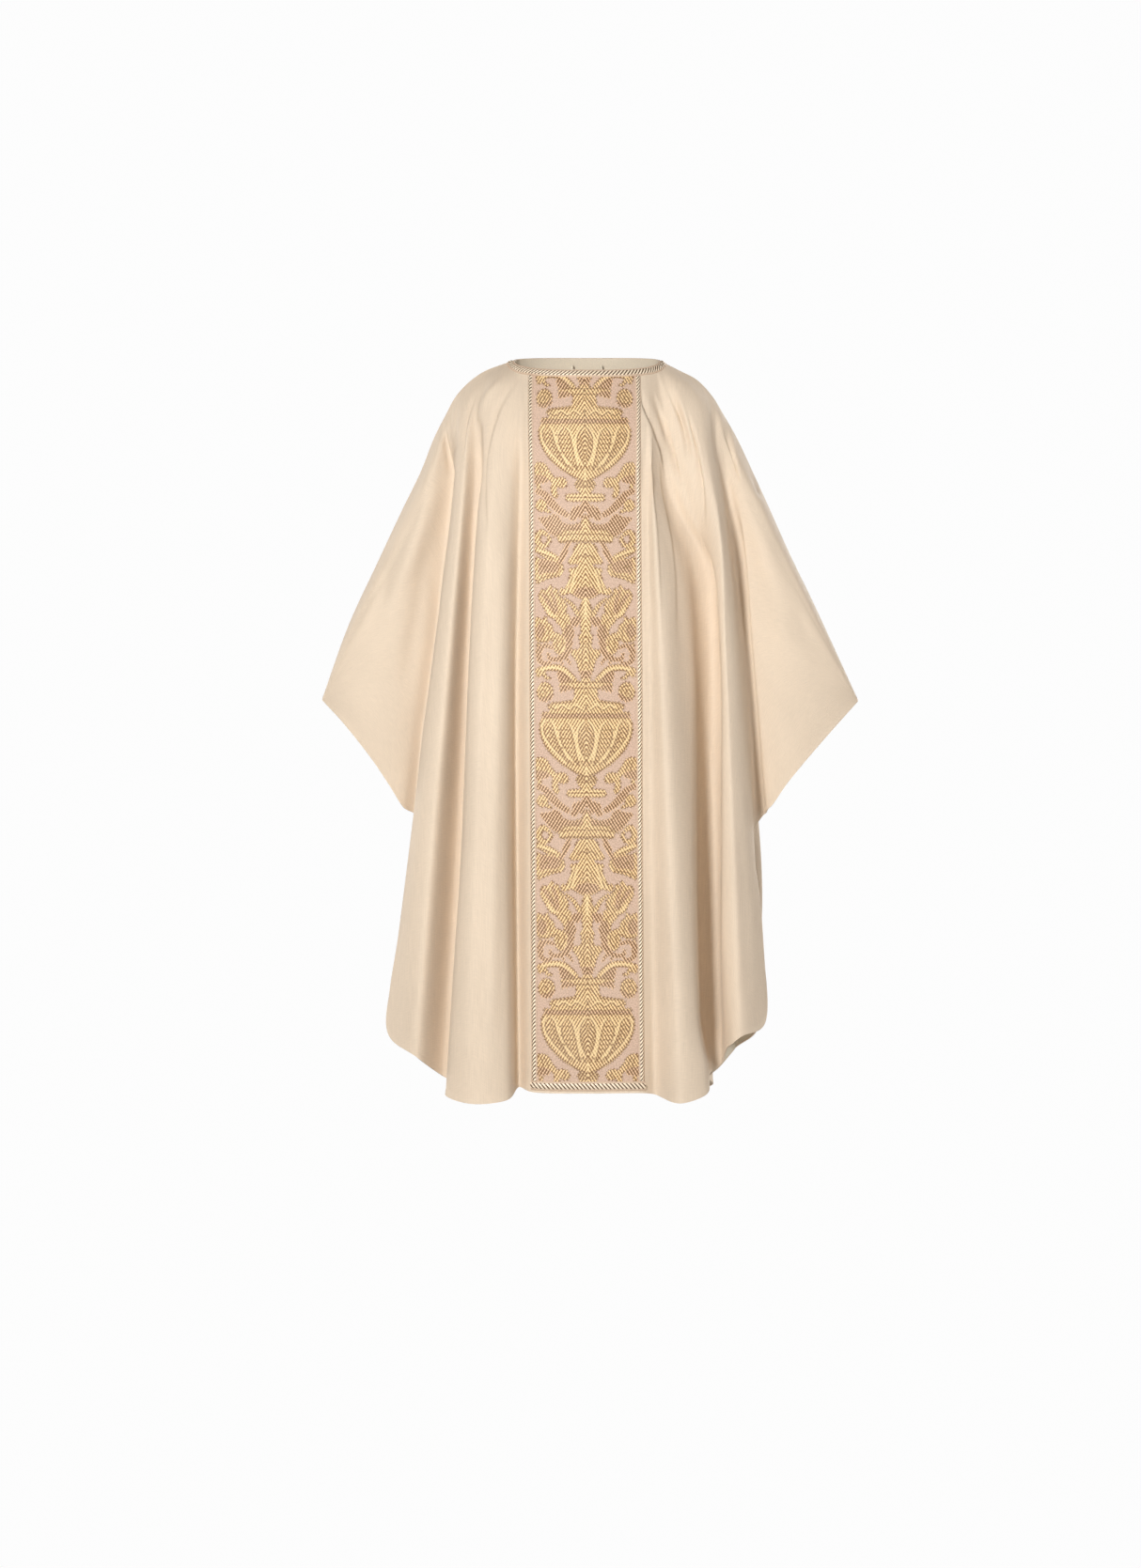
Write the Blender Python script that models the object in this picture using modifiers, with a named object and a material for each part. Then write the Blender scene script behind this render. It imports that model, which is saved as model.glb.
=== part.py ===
"""Gothic chasuble: an open, unlined vestment hanging in folds from the shoulders.

Metres, +Z up.  The front faces -Y and the wearer's left is +X.  The origin is the
middle of the vestment's footprint, level with the lowest point of the hem.

Each panel of cloth is one surface.  Its columns run across the panel from the
wearer's right wrist to the left wrist and count fold lines: every whole number is
a fold line, and fractions lie between two of them.  Its drops run down a fold
line, from the neckline or shoulder seam (0) to the hem (1).
"""
import math
from collections import namedtuple

import bmesh
import bpy
import numpy as np
from mathutils import Vector

LEFT, RIGHT = 1, -1      # sign of x on each side of the wearer
FRONT, BACK = -1, 1      # sign of y on each panel
ALL = slice(None)

# facing: FRONT or BACK.  starts: top position of each fold line (see FOLDS).
# stations: points down each fold line (line, station, xyz).  middle: middle line's number.
Panel = namedtuple("Panel", "facing starts stations middle")
# A piece of cloth surface: two (row, column, xyz) grids.
Patch = namedtuple("Patch", "points normals")
Finish = namedtuple("Finish", "color roughness metallic", defaults=(0.0,))

# ------------------------------------------------------------------ dimensions
CLOTH = 0.0012           # wool cloth
SEAM_HALF = 0.0008       # half the slit between front and back along a seam
GAP = 0.0005             # air between two stacked layers
INTERFACING = 0.0004
BROCADE = 0.0008
BRAID = 0.0018           # galloon braid thickness
BRAID_WIDTH = 0.015
FACING = 0.0006
TAPE = 0.0006
LABEL = 0.0005
INSIDE = -(CLOTH + GAP)  # height of a layer that lies against the inner face

NECK_X = -0.006          # middle of the neckline
NECK_HALF_WIDTH = 0.127
NECK_SIDE_Z = 1.289      # height where neckline and shoulder seam meet
NECK_REACH = {FRONT: 0.092, BACK: 0.080}     # how far it reaches forward and backward
NECK_RISE = {FRONT: -0.023, BACK: 0.010}     # its middle, against NECK_SIDE_Z
NECK_LIFT_POWER = 1.3    # how the neckline's height changes towards the sides

BROCADE_INSET = 0.003    # orphrey ends pulled in, to clear the neck and bottom braids
BRAID_INSET = 0.002      # the same for the side braids

NECK_BRAID_AIR = 0.0012  # between the cloth and the neck braid
SEAM_LIFT = 0.0028       # extra height of the neck braid at a shoulder seam
NEAR_SEAM_LIFT = 0.0008  # and one column away from it

LOOP_RADIUS = 0.0013     # hanging loop: cord radius, half width and drop
LOOP_HALF_WIDTH = 0.026
LOOP_DROP = 0.030
LOOP_POWER = 0.8         # below 1 makes the loop fuller than a half ellipse
LOOP_STEPS = 16
LOOP_INSET = 0.0075      # ends in front of the back neckline
LOOP_BELOW = 0.012       # and below its middle

STAY_DISTANCES = (0.052, 0.084, 0.112)       # along the shoulder seam from the neck
STAY_HALF_WIDTH = 0.004
STAY_DEPTH = 0.0062      # below the seam line

# ------------------------------------------------------------------ fold tables
# Drops of a fold line's stations: its top end, then the five listed in FOLDS.
LEVELS = np.array((0.0, 0.05, 0.18, 0.40, 0.68, 1.0))
TOP_BLEND = 0.06         # drop within which the cloth is drawn onto its top edge

# Shoulder and arm line of each side, neck to wrist: (x, z).
ARM = {
    LEFT: (
        (0.121, 1.289), (0.157, 1.271), (0.184, 1.257), (0.214, 1.226),
        (0.234, 1.193), (0.253, 1.160), (0.284, 1.095), (0.314, 1.029),
        (0.347, 0.955), (0.390, 0.866), (0.432, 0.775), (0.469, 0.694)),
    RIGHT: (
        (-0.133, 1.289), (-0.160, 1.280), (-0.185, 1.270), (-0.206, 1.256),
        (-0.235, 1.226), (-0.253, 1.193), (-0.270, 1.160), (-0.296, 1.095),
        (-0.328, 1.029), (-0.374, 0.931), (-0.420, 0.832), (-0.469, 0.696)),
}
# Lower edge of each sleeve drape, from the crease beside the body to the wrist: (x, z).
CUFF = {
    LEFT: (
        (0.299, 0.493), (0.312, 0.506), (0.335, 0.539), (0.361, 0.572),
        (0.389, 0.605), (0.417, 0.637), (0.469, 0.694)),
    RIGHT: (
        (-0.302, 0.493), (-0.325, 0.508), (-0.345, 0.539), (-0.366, 0.572),
        (-0.391, 0.605), (-0.415, 0.637), (-0.469, 0.696)),
}

# Fold lines of the front.  The first number is the start, which places the top end:
# 0..1 along a quarter of the neckline, above 1 metres along the shoulder seam.
# Then (x, y, z) at each station.  Starts are negative on the right in a Panel.
MIDDLE_START = {FRONT: -0.0226, BACK: 0.0}
MIDDLE = ((-0.010, -0.120, 1.205), (-0.009, -0.154, 1.060), (-0.008, -0.172, 0.770),
          (-0.006, -0.186, 0.420), (-0.004, -0.197, 0.017))
FOLDS = {LEFT: (          # middle outward
    # orphrey edge, recess beside it, first pleat, its flank, two lines of the deep valley
    (0.523, (0.087, -0.100, 1.206), (0.087, -0.140, 1.060), (0.089, -0.160, 0.770),
     (0.090, -0.175, 0.420), (0.093, -0.188, 0.017)),
    (0.581, (0.095, -0.094, 1.209), (0.097, -0.137, 1.060), (0.101, -0.158, 0.770),
     (0.104, -0.171, 0.420), (0.109, -0.173, 0.015)),
    (0.638, (0.102, -0.086, 1.213), (0.107, -0.147, 1.060), (0.120, -0.180, 0.770),
     (0.133, -0.205, 0.420), (0.152, -0.222, 0.001)),
    (0.698, (0.114, -0.072, 1.217), (0.127, -0.122, 1.060), (0.168, -0.130, 0.770),
     (0.180, -0.165, 0.420), (0.197, -0.196, 0.014)),
    (0.759, (0.124, -0.062, 1.222), (0.143, -0.100, 1.060), (0.202, -0.082, 0.770),
     (0.206, -0.083, 0.420), (0.211, -0.099, 0.052)),
    (0.800, (0.130, -0.060, 1.227), (0.156, -0.097, 1.060), (0.214, -0.083, 0.770),
     (0.220, -0.082, 0.420), (0.225, -0.098, 0.060)),
    # second pleat: inner edge, neck-side line, crown, outer edge
    (0.840, (0.134, -0.058, 1.231), (0.178, -0.108, 1.060), (0.203, -0.113, 0.770),
     (0.211, -0.122, 0.420), (0.235, -0.136, 0.092)),
    (1.000, (0.148, -0.052, 1.243), (0.196, -0.118, 1.060), (0.214, -0.138, 0.770),
     (0.225, -0.150, 0.420), (0.246, -0.157, 0.102)),
    (1.036, (0.175, -0.043, 1.238), (0.212, -0.120, 1.060), (0.230, -0.150, 0.770),
     (0.246, -0.164, 0.420), (0.259, -0.163, 0.113)),
    (1.072, (0.202, -0.036, 1.215), (0.230, -0.100, 1.060), (0.256, -0.124, 0.770),
     (0.280, -0.118, 0.420), (0.301, -0.105, 0.131)),
    # the cloth turning back beside the body, then the crease at the arm
    (1.095, (0.212, -0.032, 1.202), (0.238, -0.080, 1.060), (0.265, -0.095, 0.790),
     (0.287, -0.088, 0.520), (0.296, -0.075, 0.310)),
    (1.114, (0.224, -0.027, 1.190), (0.246, -0.058, 1.050), (0.271, -0.060, 0.833),
     (0.288, -0.055, 0.654), (0.299, -0.045, 0.493)),
), RIGHT: (
    # orphrey edge, valley beside it, first pleat's inner side, crown and outer side
    (0.594, (-0.108, -0.098, 1.206), (-0.106, -0.140, 1.060), (-0.105, -0.160, 0.770),
     (-0.103, -0.174, 0.420), (-0.101, -0.186, 0.019)),
    (0.688, (-0.118, -0.085, 1.215), (-0.121, -0.126, 1.060), (-0.127, -0.134, 0.770),
     (-0.127, -0.136, 0.420), (-0.123, -0.152, 0.026)),
    (0.788, (-0.130, -0.070, 1.232), (-0.139, -0.142, 1.060), (-0.145, -0.168, 0.770),
     (-0.148, -0.190, 0.420), (-0.143, -0.206, 0.006)),
    (1.000, (-0.151, -0.054, 1.248), (-0.170, -0.150, 1.060), (-0.183, -0.182, 0.770),
     (-0.193, -0.205, 0.420), (-0.201, -0.220, 0.000)),
    (1.022, (-0.173, -0.044, 1.248), (-0.191, -0.130, 1.060), (-0.209, -0.156, 0.770),
     (-0.224, -0.170, 0.420), (-0.248, -0.184, 0.012)),
    # two lines of the valley, second pleat's crown and outer edge
    (1.040, (-0.186, -0.039, 1.240), (-0.191, -0.103, 1.060), (-0.202, -0.108, 0.770),
     (-0.217, -0.106, 0.420), (-0.239, -0.112, 0.032)),
    (1.054, (-0.194, -0.037, 1.234), (-0.199, -0.101, 1.060), (-0.214, -0.108, 0.770),
     (-0.231, -0.106, 0.420), (-0.254, -0.111, 0.042)),
    (1.072, (-0.212, -0.038, 1.220), (-0.220, -0.118, 1.060), (-0.245, -0.150, 0.770),
     (-0.275, -0.160, 0.420), (-0.301, -0.158, 0.079)),
    (1.097, (-0.229, -0.034, 1.203), (-0.237, -0.094, 1.060), (-0.274, -0.120, 0.770),
     (-0.314, -0.112, 0.420), (-0.351, -0.096, 0.117)),
    # the cloth turning back beside the body, then the crease at the arm
    (1.111, (-0.238, -0.030, 1.193), (-0.237, -0.072, 1.060), (-0.268, -0.086, 0.784),
     (-0.299, -0.080, 0.523), (-0.321, -0.069, 0.302)),
    (1.123, (-0.245, -0.025, 1.178), (-0.238, -0.050, 1.062), (-0.258, -0.056, 0.833),
     (-0.280, -0.052, 0.654), (-0.302, -0.041, 0.493)),
)}
# Sleeve drape lines: (share of the way along arm and cuff, depth of cloth off the arm).
DRAPE = ((0.10, 0.064), (0.26, 0.068), (0.44, 0.064), (0.63, 0.054),
         (0.82, 0.036), (0.93, 0.020), (0.992, 0.007))
DRAPE_SHAPE = np.array((0.52, 0.94, 1.05, 1.00, 0.88))   # share of that depth per station
DRAPE_DEPTH = {FRONT: 1.0, BACK: 0.95}
BACK_DEPTH = 0.985       # back folds, against the front's
# Share, per station, of the difference between the arms given to mirrored folds.
ARM_SHARE = np.array((0.8, 0.9, 0.6, 0.3, 0.0))
# On the left, the share of the width beyond TUCK_FROM that is taken off again, which
# keeps the back within the front's outline below the sleeve.
TUCK_SHARE = np.array((0.0, 0.0, 0.03, 0.09, 0.235))
TUCK_FROM = 0.12
SPREAD = 0.65            # how round a fold turns (0.5 sharp, 1 round)

# ------------------------------------------------------------------ grid rows and columns
DROPS = [0.0, 0.012, 0.034, 0.075, 0.14, 0.24, 0.37, 0.52, 0.68, 0.84, 0.965, 0.982,
         0.996, 1.0]
NECK_ROW = DROPS.index(0.012)        # lower edge of the neck braid
FACING_ROW = DROPS.index(0.034)      # lower edge of the neck facing
CUFF_ROW = DROPS.index(0.965)        # upper edge of the cuff tape
HEM_ROW = DROPS.index(0.982)         # upper edge of the hem tape and bottom braid
LOW_ROW = DROPS.index(0.996)         # lower edge of the bottom braid

# Extra columns, counted from the middle line; the orphrey's own edge is at 1.
LABEL_EDGE = 0.42
BRAID_INNER = 0.845
BROCADE_EDGE = 0.93
ORPHREY_COLUMNS = (LABEL_EDGE, BRAID_INNER, BROCADE_EDGE)
BODY_MARGIN = 0.04       # body cloth stops this far short of each crease
DRAPE_MARGIN = 0.02      # and the sleeve drape this far
WIDE_FOLD = 0.040        # lines farther apart than this get a column between them
WIDE_STATION = 4         # station where that distance is taken

# ------------------------------------------------------------------ finishes
WOOL = {FRONT: Finish((0.80, 0.66, 0.47), 0.75), BACK: Finish((0.78, 0.64, 0.455), 0.75)}
ROSE = Finish((0.72, 0.50, 0.38), roughness=0.55, metallic=0.15)
GOLD = Finish((0.78, 0.62, 0.36), roughness=0.4, metallic=0.5)
LINING = Finish((0.82, 0.76, 0.66), roughness=0.8)
CORD = LINING._replace(roughness=0.7)
STIFFENER = Finish((0.85, 0.84, 0.80), roughness=0.9)
WOVEN_LABEL = Finish((0.86, 0.82, 0.74), roughness=0.45)


# ------------------------------------------------------------------ curves
def unit(vectors):
    return vectors / np.maximum(np.linalg.norm(vectors, axis=-1, keepdims=True), 1e-12)


def slopes(params, points):
    """Tangents of a smooth curve through points at params (last axis coordinates)."""
    width = np.diff(params, axis=0)[..., None]
    chord = np.diff(points, axis=0) / width
    tangents = np.empty_like(points)
    tangents[1:-1] = ((chord[:-1] * width[1:] + chord[1:] * width[:-1])
                      / (width[:-1] + width[1:]))
    tangents[0] = chord[0]
    tangents[-1] = chord[-1]
    return tangents


def hermite(points, tangents, span, width, part):
    """Cubic from points[span] to the next one; part (0..1) is the place within it."""
    square, cube = part * part, part * part * part
    return ((2 * cube - 3 * square + 1) * points[span]
            + (cube - 2 * square + part) * width * tangents[span]
            + (3 * square - 2 * cube) * points[span + 1]
            + (cube - square) * width * tangents[span + 1])


def find_spans(params, values):
    """Number of the interval of params that holds each value."""
    return np.clip(np.searchsorted(params, values, side="right") - 1, 0, len(params) - 2)


def length(points):
    return float(np.linalg.norm(np.diff(points, axis=0), axis=1).sum())


def along(points, shares):
    """Points at shares (0..1) of the length of a smooth line through points."""
    points = np.array(points)
    steps = np.linalg.norm(np.diff(points, axis=0), axis=1)
    params = np.concatenate([[0.0], np.cumsum(steps)])
    values = np.clip(shares, 0.0, 1.0) * params[-1]
    span = find_spans(params, values)
    width = (params[span + 1] - params[span])[:, None]
    part = (values - params[span])[:, None] / width
    return hermite(points, slopes(params, points), span, width, part)


def down(stations, drops):
    """Fold lines at the given drops, shape (drop, line, xyz)."""
    points = np.swapaxes(stations, 0, 1)
    span = find_spans(LEVELS, drops)
    width = (LEVELS[span + 1] - LEVELS[span])[:, None, None]
    part = (drops - LEVELS[span])[:, None, None] / width
    return hermite(points, slopes(LEVELS[:, None], points), span, width, part)


def across(lines, columns):
    """Points at columns between lines (line, drop, xyz), shape (drop, column, xyz)."""
    steps = np.linalg.norm(np.diff(lines, axis=0), axis=2) ** SPREAD + 1e-4
    params = np.concatenate([np.zeros((1, steps.shape[1])), np.cumsum(steps, axis=0)])
    span = np.clip(columns.astype(int), 0, len(lines) - 2)
    width = (params[span + 1] - params[span])[..., None]
    part = (columns - span)[:, None, None]
    return np.swapaxes(hermite(lines, slopes(params, lines), span, width, part), 0, 1)


# ------------------------------------------------------------------ fold lines
def top_edge(starts, facing):
    """Points of the neckline (|start| < 1) and shoulder seam (beyond) of a panel."""
    angle = np.clip(starts, -1, 1) * math.pi / 2
    lift = 1.0 - (1.0 - np.cos(angle)) ** NECK_LIFT_POWER
    edge = np.stack([NECK_X + NECK_HALF_WIDTH * np.sin(angle),
                     facing * (SEAM_HALF + NECK_REACH[facing] * np.cos(angle)),
                     NECK_SIDE_Z + lift * NECK_RISE[facing]], axis=-1)
    for side, arm in ARM.items():
        on_seam = starts * side > 1.0
        edge[on_seam, 0::2] = along(arm, (starts[on_seam] * side - 1.0) / length(arm))
    return edge


def arm_reach(side, height):
    """Distance of one arm line from x = 0 at the given heights."""
    x, z = np.array(ARM[side])[::-1].T
    return np.interp(height, z, side * x)


def front_folds(side):
    return [(side * start, np.array(points)) for start, *points in FOLDS[side]]


def back_folds(side):
    """The opposite side's front folds, mirrored to this side of the back."""
    seam_scale = (FOLDS[side][-1][0] - 1.0) / (FOLDS[-side][-1][0] - 1.0)
    lines = []
    for start, *points in FOLDS[-side]:
        if start > 1.0:
            start = 1.0 + (start - 1.0) * seam_scale
        x, y, z = np.array(points).T
        difference = arm_reach(LEFT, z) - arm_reach(RIGHT, z)
        wide = abs(x) + side * difference * ARM_SHARE
        if side == LEFT:
            wide -= TUCK_SHARE * np.maximum(wide - TUCK_FROM, 0.0)
        lines.append((side * start, np.stack([side * wide, -y * BACK_DEPTH, z], axis=1)))
    return lines


def drape_folds(side, facing):
    """Fold lines of a sleeve drape, from the crease to the wrist."""
    arm_length = length(ARM[side])
    crease = FOLDS[side][-1][0]
    lines = []
    for share, depth in DRAPE:
        start = crease + share * (1.0 + arm_length - crease)
        top = along(ARM[side], [(start - 1.0) / arm_length])[0]
        low = along(CUFF[side], [share])[0]
        x, z = (top + (low - top) * LEVELS[1:, None]).T
        y = facing * depth * DRAPE_SHAPE * DRAPE_DEPTH[facing]
        lines.append((side * start, np.stack([x, y, z], axis=1)))
    return lines


def make_panel(facing):
    body_folds = front_folds if facing == FRONT else back_folds
    left, right = (body_folds(side) + drape_folds(side, facing) for side in (LEFT, RIGHT))
    middle = np.array(MIDDLE)
    if facing == BACK:
        middle[:, 1] *= -BACK_DEPTH
    lines = right[::-1] + [(MIDDLE_START[facing], middle)] + left
    starts = np.array([start for start, _ in lines])
    below = np.array([points for _, points in lines])
    stations = np.concatenate([top_edge(starts, facing)[:, None], below], axis=1)
    return Panel(facing, starts, stations, len(right))


# ------------------------------------------------------------------ panel surface
def line_starts(panel, columns):
    """Starts interpolated at any columns."""
    return np.interp(columns, np.arange(len(panel.starts)), panel.starts)


def turn(grid, axis):
    """Direction of a grid line at every point: the bisector of its two segments."""
    step = np.diff(grid, axis=axis)
    step = step / np.maximum(np.linalg.norm(step, axis=2, keepdims=True), 1e-9)
    first, last = np.take(step, [0], axis), np.take(step, [-1], axis)
    return np.concatenate([first, step], axis) + np.concatenate([step, last], axis)


def surface(panel, columns):
    """The panel's cloth at DROPS and the given columns, with outward normals."""
    drops, columns = np.array(DROPS), np.array(columns, float)
    lines = np.swapaxes(down(panel.stations, drops), 0, 1)
    points = across(lines, columns)
    # the first centimetres follow the neckline and the seam exactly
    wanted = top_edge(line_starts(panel, columns), panel.facing)
    error = wanted - across(panel.stations[:, :1], columns)[0]
    weight = np.clip(1.0 - drops / TOP_BLEND, 0, 1) ** 2
    points += weight[:, None, None] * error
    # neither panel crosses its side of the seam slit
    points[..., 1] = panel.facing * np.maximum(panel.facing * points[..., 1], SEAM_HALF)
    return Patch(points, unit(panel.facing * np.cross(turn(points, 1), turn(points, 0))))


def creases(panel):
    """Numbers of the right and left crease lines between body and sleeve drape."""
    return len(DRAPE), len(panel.starts) - 1 - len(DRAPE)


def body_columns(panel):
    right_crease, left_crease = creases(panel)
    middle = panel.middle
    station = panel.stations[:, WIDE_STATION]
    columns = [right_crease + BODY_MARGIN]
    for i in range(right_crease, left_crease):
        if i == middle - 1:
            columns += [middle - offset for offset in ORPHREY_COLUMNS[::-1]]
        elif i == middle:
            columns += [middle + offset for offset in ORPHREY_COLUMNS]
        elif np.linalg.norm(station[i + 1] - station[i]) > WIDE_FOLD:
            columns.append(i + 0.5)
        columns.append(i + 1)
    columns[-1] = left_crease - BODY_MARGIN
    return columns


def drape_columns(panel, side):
    right_crease, left_crease = creases(panel)
    if side == RIGHT:
        return [*range(right_crease), right_crease - 0.5, right_crease - DRAPE_MARGIN]
    return [left_crease + DRAPE_MARGIN, left_crease + 0.5,
            *range(left_crease + 1, len(panel.starts))]


def cut(patch, rows, columns):
    return Patch(patch.points[rows, columns], patch.normals[rows, columns])


def shortened(patch, inset):
    """The patch with its top and bottom edges pulled in."""
    points = patch.points.copy()
    points[0] += unit(points[1] - points[0]) * inset
    points[-1] += unit(points[-2] - points[-1]) * inset
    return Patch(points, patch.normals)


# ------------------------------------------------------------------ objects
def material(name, finish):
    mat = bpy.data.materials.new(name)
    mat.use_nodes = True
    inputs = mat.node_tree.nodes["Principled BSDF"].inputs
    inputs["Base Color"].default_value = (*finish.color, 1.0)
    inputs["Roughness"].default_value = finish.roughness
    inputs["Metallic"].default_value = finish.metallic
    return mat


def add_object(name, data, finish):
    obj = bpy.data.objects.new(name, data)
    data.materials.append(material(name + "_material", finish))
    bpy.data.collections["chasuble"].objects.link(obj)
    return obj


def faces_inward(bm, patch):
    """Whether a sample of the faces points against the nearest outward normals."""
    total = 0.0
    normals = patch.normals.reshape(-1, 3)
    points = patch.points.reshape(-1, 3)
    for face in list(bm.faces)[::max(1, len(bm.faces) // 40)]:
        centre = np.array(face.calc_center_median())
        nearest = np.argmin(((points - centre) ** 2).sum(axis=1))
        total += np.dot(np.array(face.normal), normals[nearest])
    return total < 0


def sheet(name, patch, height, thickness, finish, ring=False):
    """A cloth layer whose outer face lies `height` above the patch, thickened inward."""
    patch = Patch(patch.points + patch.normals * height, patch.normals)
    rows, columns = patch.points.shape[:2]
    bm = bmesh.new()
    bmesh.ops.create_grid(bm, x_segments=columns - 1, y_segments=rows - 1, size=0.5)
    for vert in bm.verts:
        column = round((vert.co.x + 0.5) * (columns - 1))
        row = round((0.5 - vert.co.y) * (rows - 1))
        vert.co = Vector(patch.points[row, column])
    if ring:
        bmesh.ops.remove_doubles(bm, verts=bm.verts[:], dist=1e-6)
    bmesh.ops.triangulate(bm, faces=bm.faces[:], quad_method="FIXED")
    bm.normal_update()
    if faces_inward(bm, patch):
        bmesh.ops.reverse_faces(bm, faces=bm.faces[:])
    mesh = bpy.data.meshes.new(name)
    bm.to_mesh(mesh)
    bm.free()
    mesh.shade_smooth()
    solidify = add_object(name, mesh, finish).modifiers.new("Solidify", "SOLIDIFY")
    solidify.thickness = thickness
    solidify.offset = -1.0


def build_orphrey(prefix, body, columns, middle):
    """Central band: interfacing, brocade, a braid down each side and one at the bottom."""
    def strip(first, last, rows=slice(NECK_ROW, HEM_ROW + 1)):
        ends = columns.index(middle + first), columns.index(middle + last)
        return cut(body, rows, slice(ends[0], ends[1] + 1))

    band = shortened(strip(-BROCADE_EDGE, BROCADE_EDGE), BROCADE_INSET)
    height = GAP + INTERFACING
    sheet(prefix + "_orphrey_interfacing", band, height, INTERFACING, STIFFENER)
    height += GAP + BROCADE
    sheet(prefix + "_orphrey", band, height, BROCADE, ROSE)
    height += GAP + BRAID
    for name, first, last in (("right", -1, -BRAID_INNER), ("left", BRAID_INNER, 1)):
        edge = shortened(strip(first, last), BRAID_INSET)
        sheet(prefix + "_braid_" + name, edge, height, BRAID, GOLD)
    bottom = strip(-1, 1, slice(HEM_ROW, LOW_ROW + 1))
    sheet(prefix + "_braid_bottom", bottom, height, BRAID, GOLD)


def build_panel(prefix, facing):
    """One panel with its trim; returns the part on the neckline and the label's place."""
    panel = make_panel(facing)
    columns = body_columns(panel)
    body = surface(panel, columns)
    sheet(prefix + "_centre_panel", body, 0.0, CLOTH, WOOL[facing])
    # each cuff tape leaves out one column at the crease and two or one at the wrist
    for name, side, taped in (("right", RIGHT, slice(2, -1)), ("left", LEFT, slice(1, -2))):
        drape = surface(panel, drape_columns(panel, side))
        sheet(f"{prefix}_drape_{name}", drape, 0.0, CLOTH, WOOL[facing])
        cuff = cut(drape, slice(CUFF_ROW, None), taped)
        sheet(f"{prefix}_cuff_tape_{name}", cuff, INSIDE, TAPE, LINING)
    build_orphrey(prefix, body, columns, panel.middle)
    # tape that finishes the curved hem on the inside
    sheet(prefix + "_hem_tape", cut(body, slice(HEM_ROW, None), ALL), INSIDE, TAPE, LINING)

    # the tolerance lets in lines that start where neckline and seam meet
    on_neck = np.flatnonzero(abs(line_starts(panel, columns)) < 1.0005)
    label_first = columns.index(panel.middle - LABEL_EDGE)
    label_last = columns.index(panel.middle + LABEL_EDGE)
    label = cut(body, slice(NECK_ROW, FACING_ROW + 1), slice(label_first, label_last + 1))
    return cut(body, ALL, on_neck), label


def seam_line(side, distances):
    """Points on a shoulder seam at distances from the neck, and upward normals."""
    line = along(ARM[side], np.array(distances) / length(ARM[side]))
    step = np.gradient(line, axis=0)
    up = unit(side * np.stack([-step[:, 1], step[:, 0]], axis=1))
    return np.insert(line, 1, 0.0, axis=1), np.insert(up, 1, 0.0, axis=1)


def build_neck_braid(front, back):
    """A closed ring: front neckline, left seam, back neckline, right seam."""
    def half(patch, order, side):
        points, up = seam_line(side, (0.0, BRAID_WIDTH))
        lift = np.zeros(patch.points.shape[1] + 1)
        lift[[0, -2, -1]] = SEAM_LIFT
        lift[[1, -3]] = NEAR_SEAM_LIFT
        edge = cut(patch, slice(NECK_ROW + 1), order)
        return (np.concatenate([edge.points, points[:, None]], axis=1),
                np.concatenate([edge.normals, up[:, None]], axis=1), lift[None, :, None])

    halves = half(front, ALL, LEFT), half(back, slice(None, None, -1), RIGHT)
    points, normals, lift = (np.concatenate(parts, axis=1) for parts in zip(*halves))
    points, normals, lift = (np.concatenate([grid, grid[:, :1]], axis=1)
                             for grid in (points, normals, lift))
    height = NECK_BRAID_AIR + BRAID + lift
    sheet("neck_braid", Patch(points, normals), height, BRAID, GOLD, ring=True)


def build_neck_facing(name, neck):
    facing = cut(neck, slice(FACING_ROW + 1), slice(1, -1))
    sheet("neck_facing_" + name, facing, INSIDE, FACING, LINING)


def build_hanger_loop():
    """Cord that hangs in a bow inside the back neckline."""
    curve = bpy.data.curves.new("hanger_loop", "CURVE")
    curve.dimensions = "3D"
    curve.bevel_depth = LOOP_RADIUS
    curve.bevel_resolution = 2
    curve.use_fill_caps = True
    spline = curve.splines.new("POLY")
    spline.points.add(LOOP_STEPS)
    for k, point in enumerate(spline.points):
        angle = math.pi * k / LOOP_STEPS
        z = -LOOP_DROP * math.sin(angle) ** LOOP_POWER
        point.co = (-LOOP_HALF_WIDTH * math.cos(angle), 0.0, z, 1.0)
    neck_angle = math.asin(LOOP_HALF_WIDTH / NECK_HALF_WIDTH)
    neckline_y = SEAM_HALF + NECK_REACH[BACK] * math.cos(neck_angle)
    loop = add_object("hanger_loop", curve, CORD)
    loop.location = (NECK_X, neckline_y - LOOP_INSET,
                     NECK_SIDE_Z + NECK_RISE[BACK] - LOOP_BELOW)


def build_stay_tape(name, side):
    """Tape that bridges front and back under a shoulder seam."""
    line, up = seam_line(side, STAY_DISTANCES)
    middle = line - up * STAY_DEPTH
    across_seam = np.array((0.0, STAY_HALF_WIDTH, 0.0))
    tape = Patch(np.stack([middle - across_seam, middle + across_seam]), np.stack([up, up]))
    sheet("shoulder_stay_tape_" + name, tape, 0.0, TAPE, LINING)


# ------------------------------------------------------------------ build
for old in list(bpy.data.objects):
    bpy.data.objects.remove(old, do_unlink=True)
bpy.context.scene.collection.children.link(bpy.data.collections.new("chasuble"))

front_neck, _ = build_panel("front", FRONT)
back_neck, label_patch = build_panel("back", BACK)
build_neck_braid(front_neck, back_neck)
build_neck_facing("front", front_neck)
build_neck_facing("back", back_neck)
# blank woven label on the back neck facing
sheet("neck_label", label_patch, INSIDE - FACING - GAP, LABEL, WOVEN_LABEL)
build_hanger_loop()
build_stay_tape("left", LEFT)
build_stay_tape("right", RIGHT)
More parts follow.
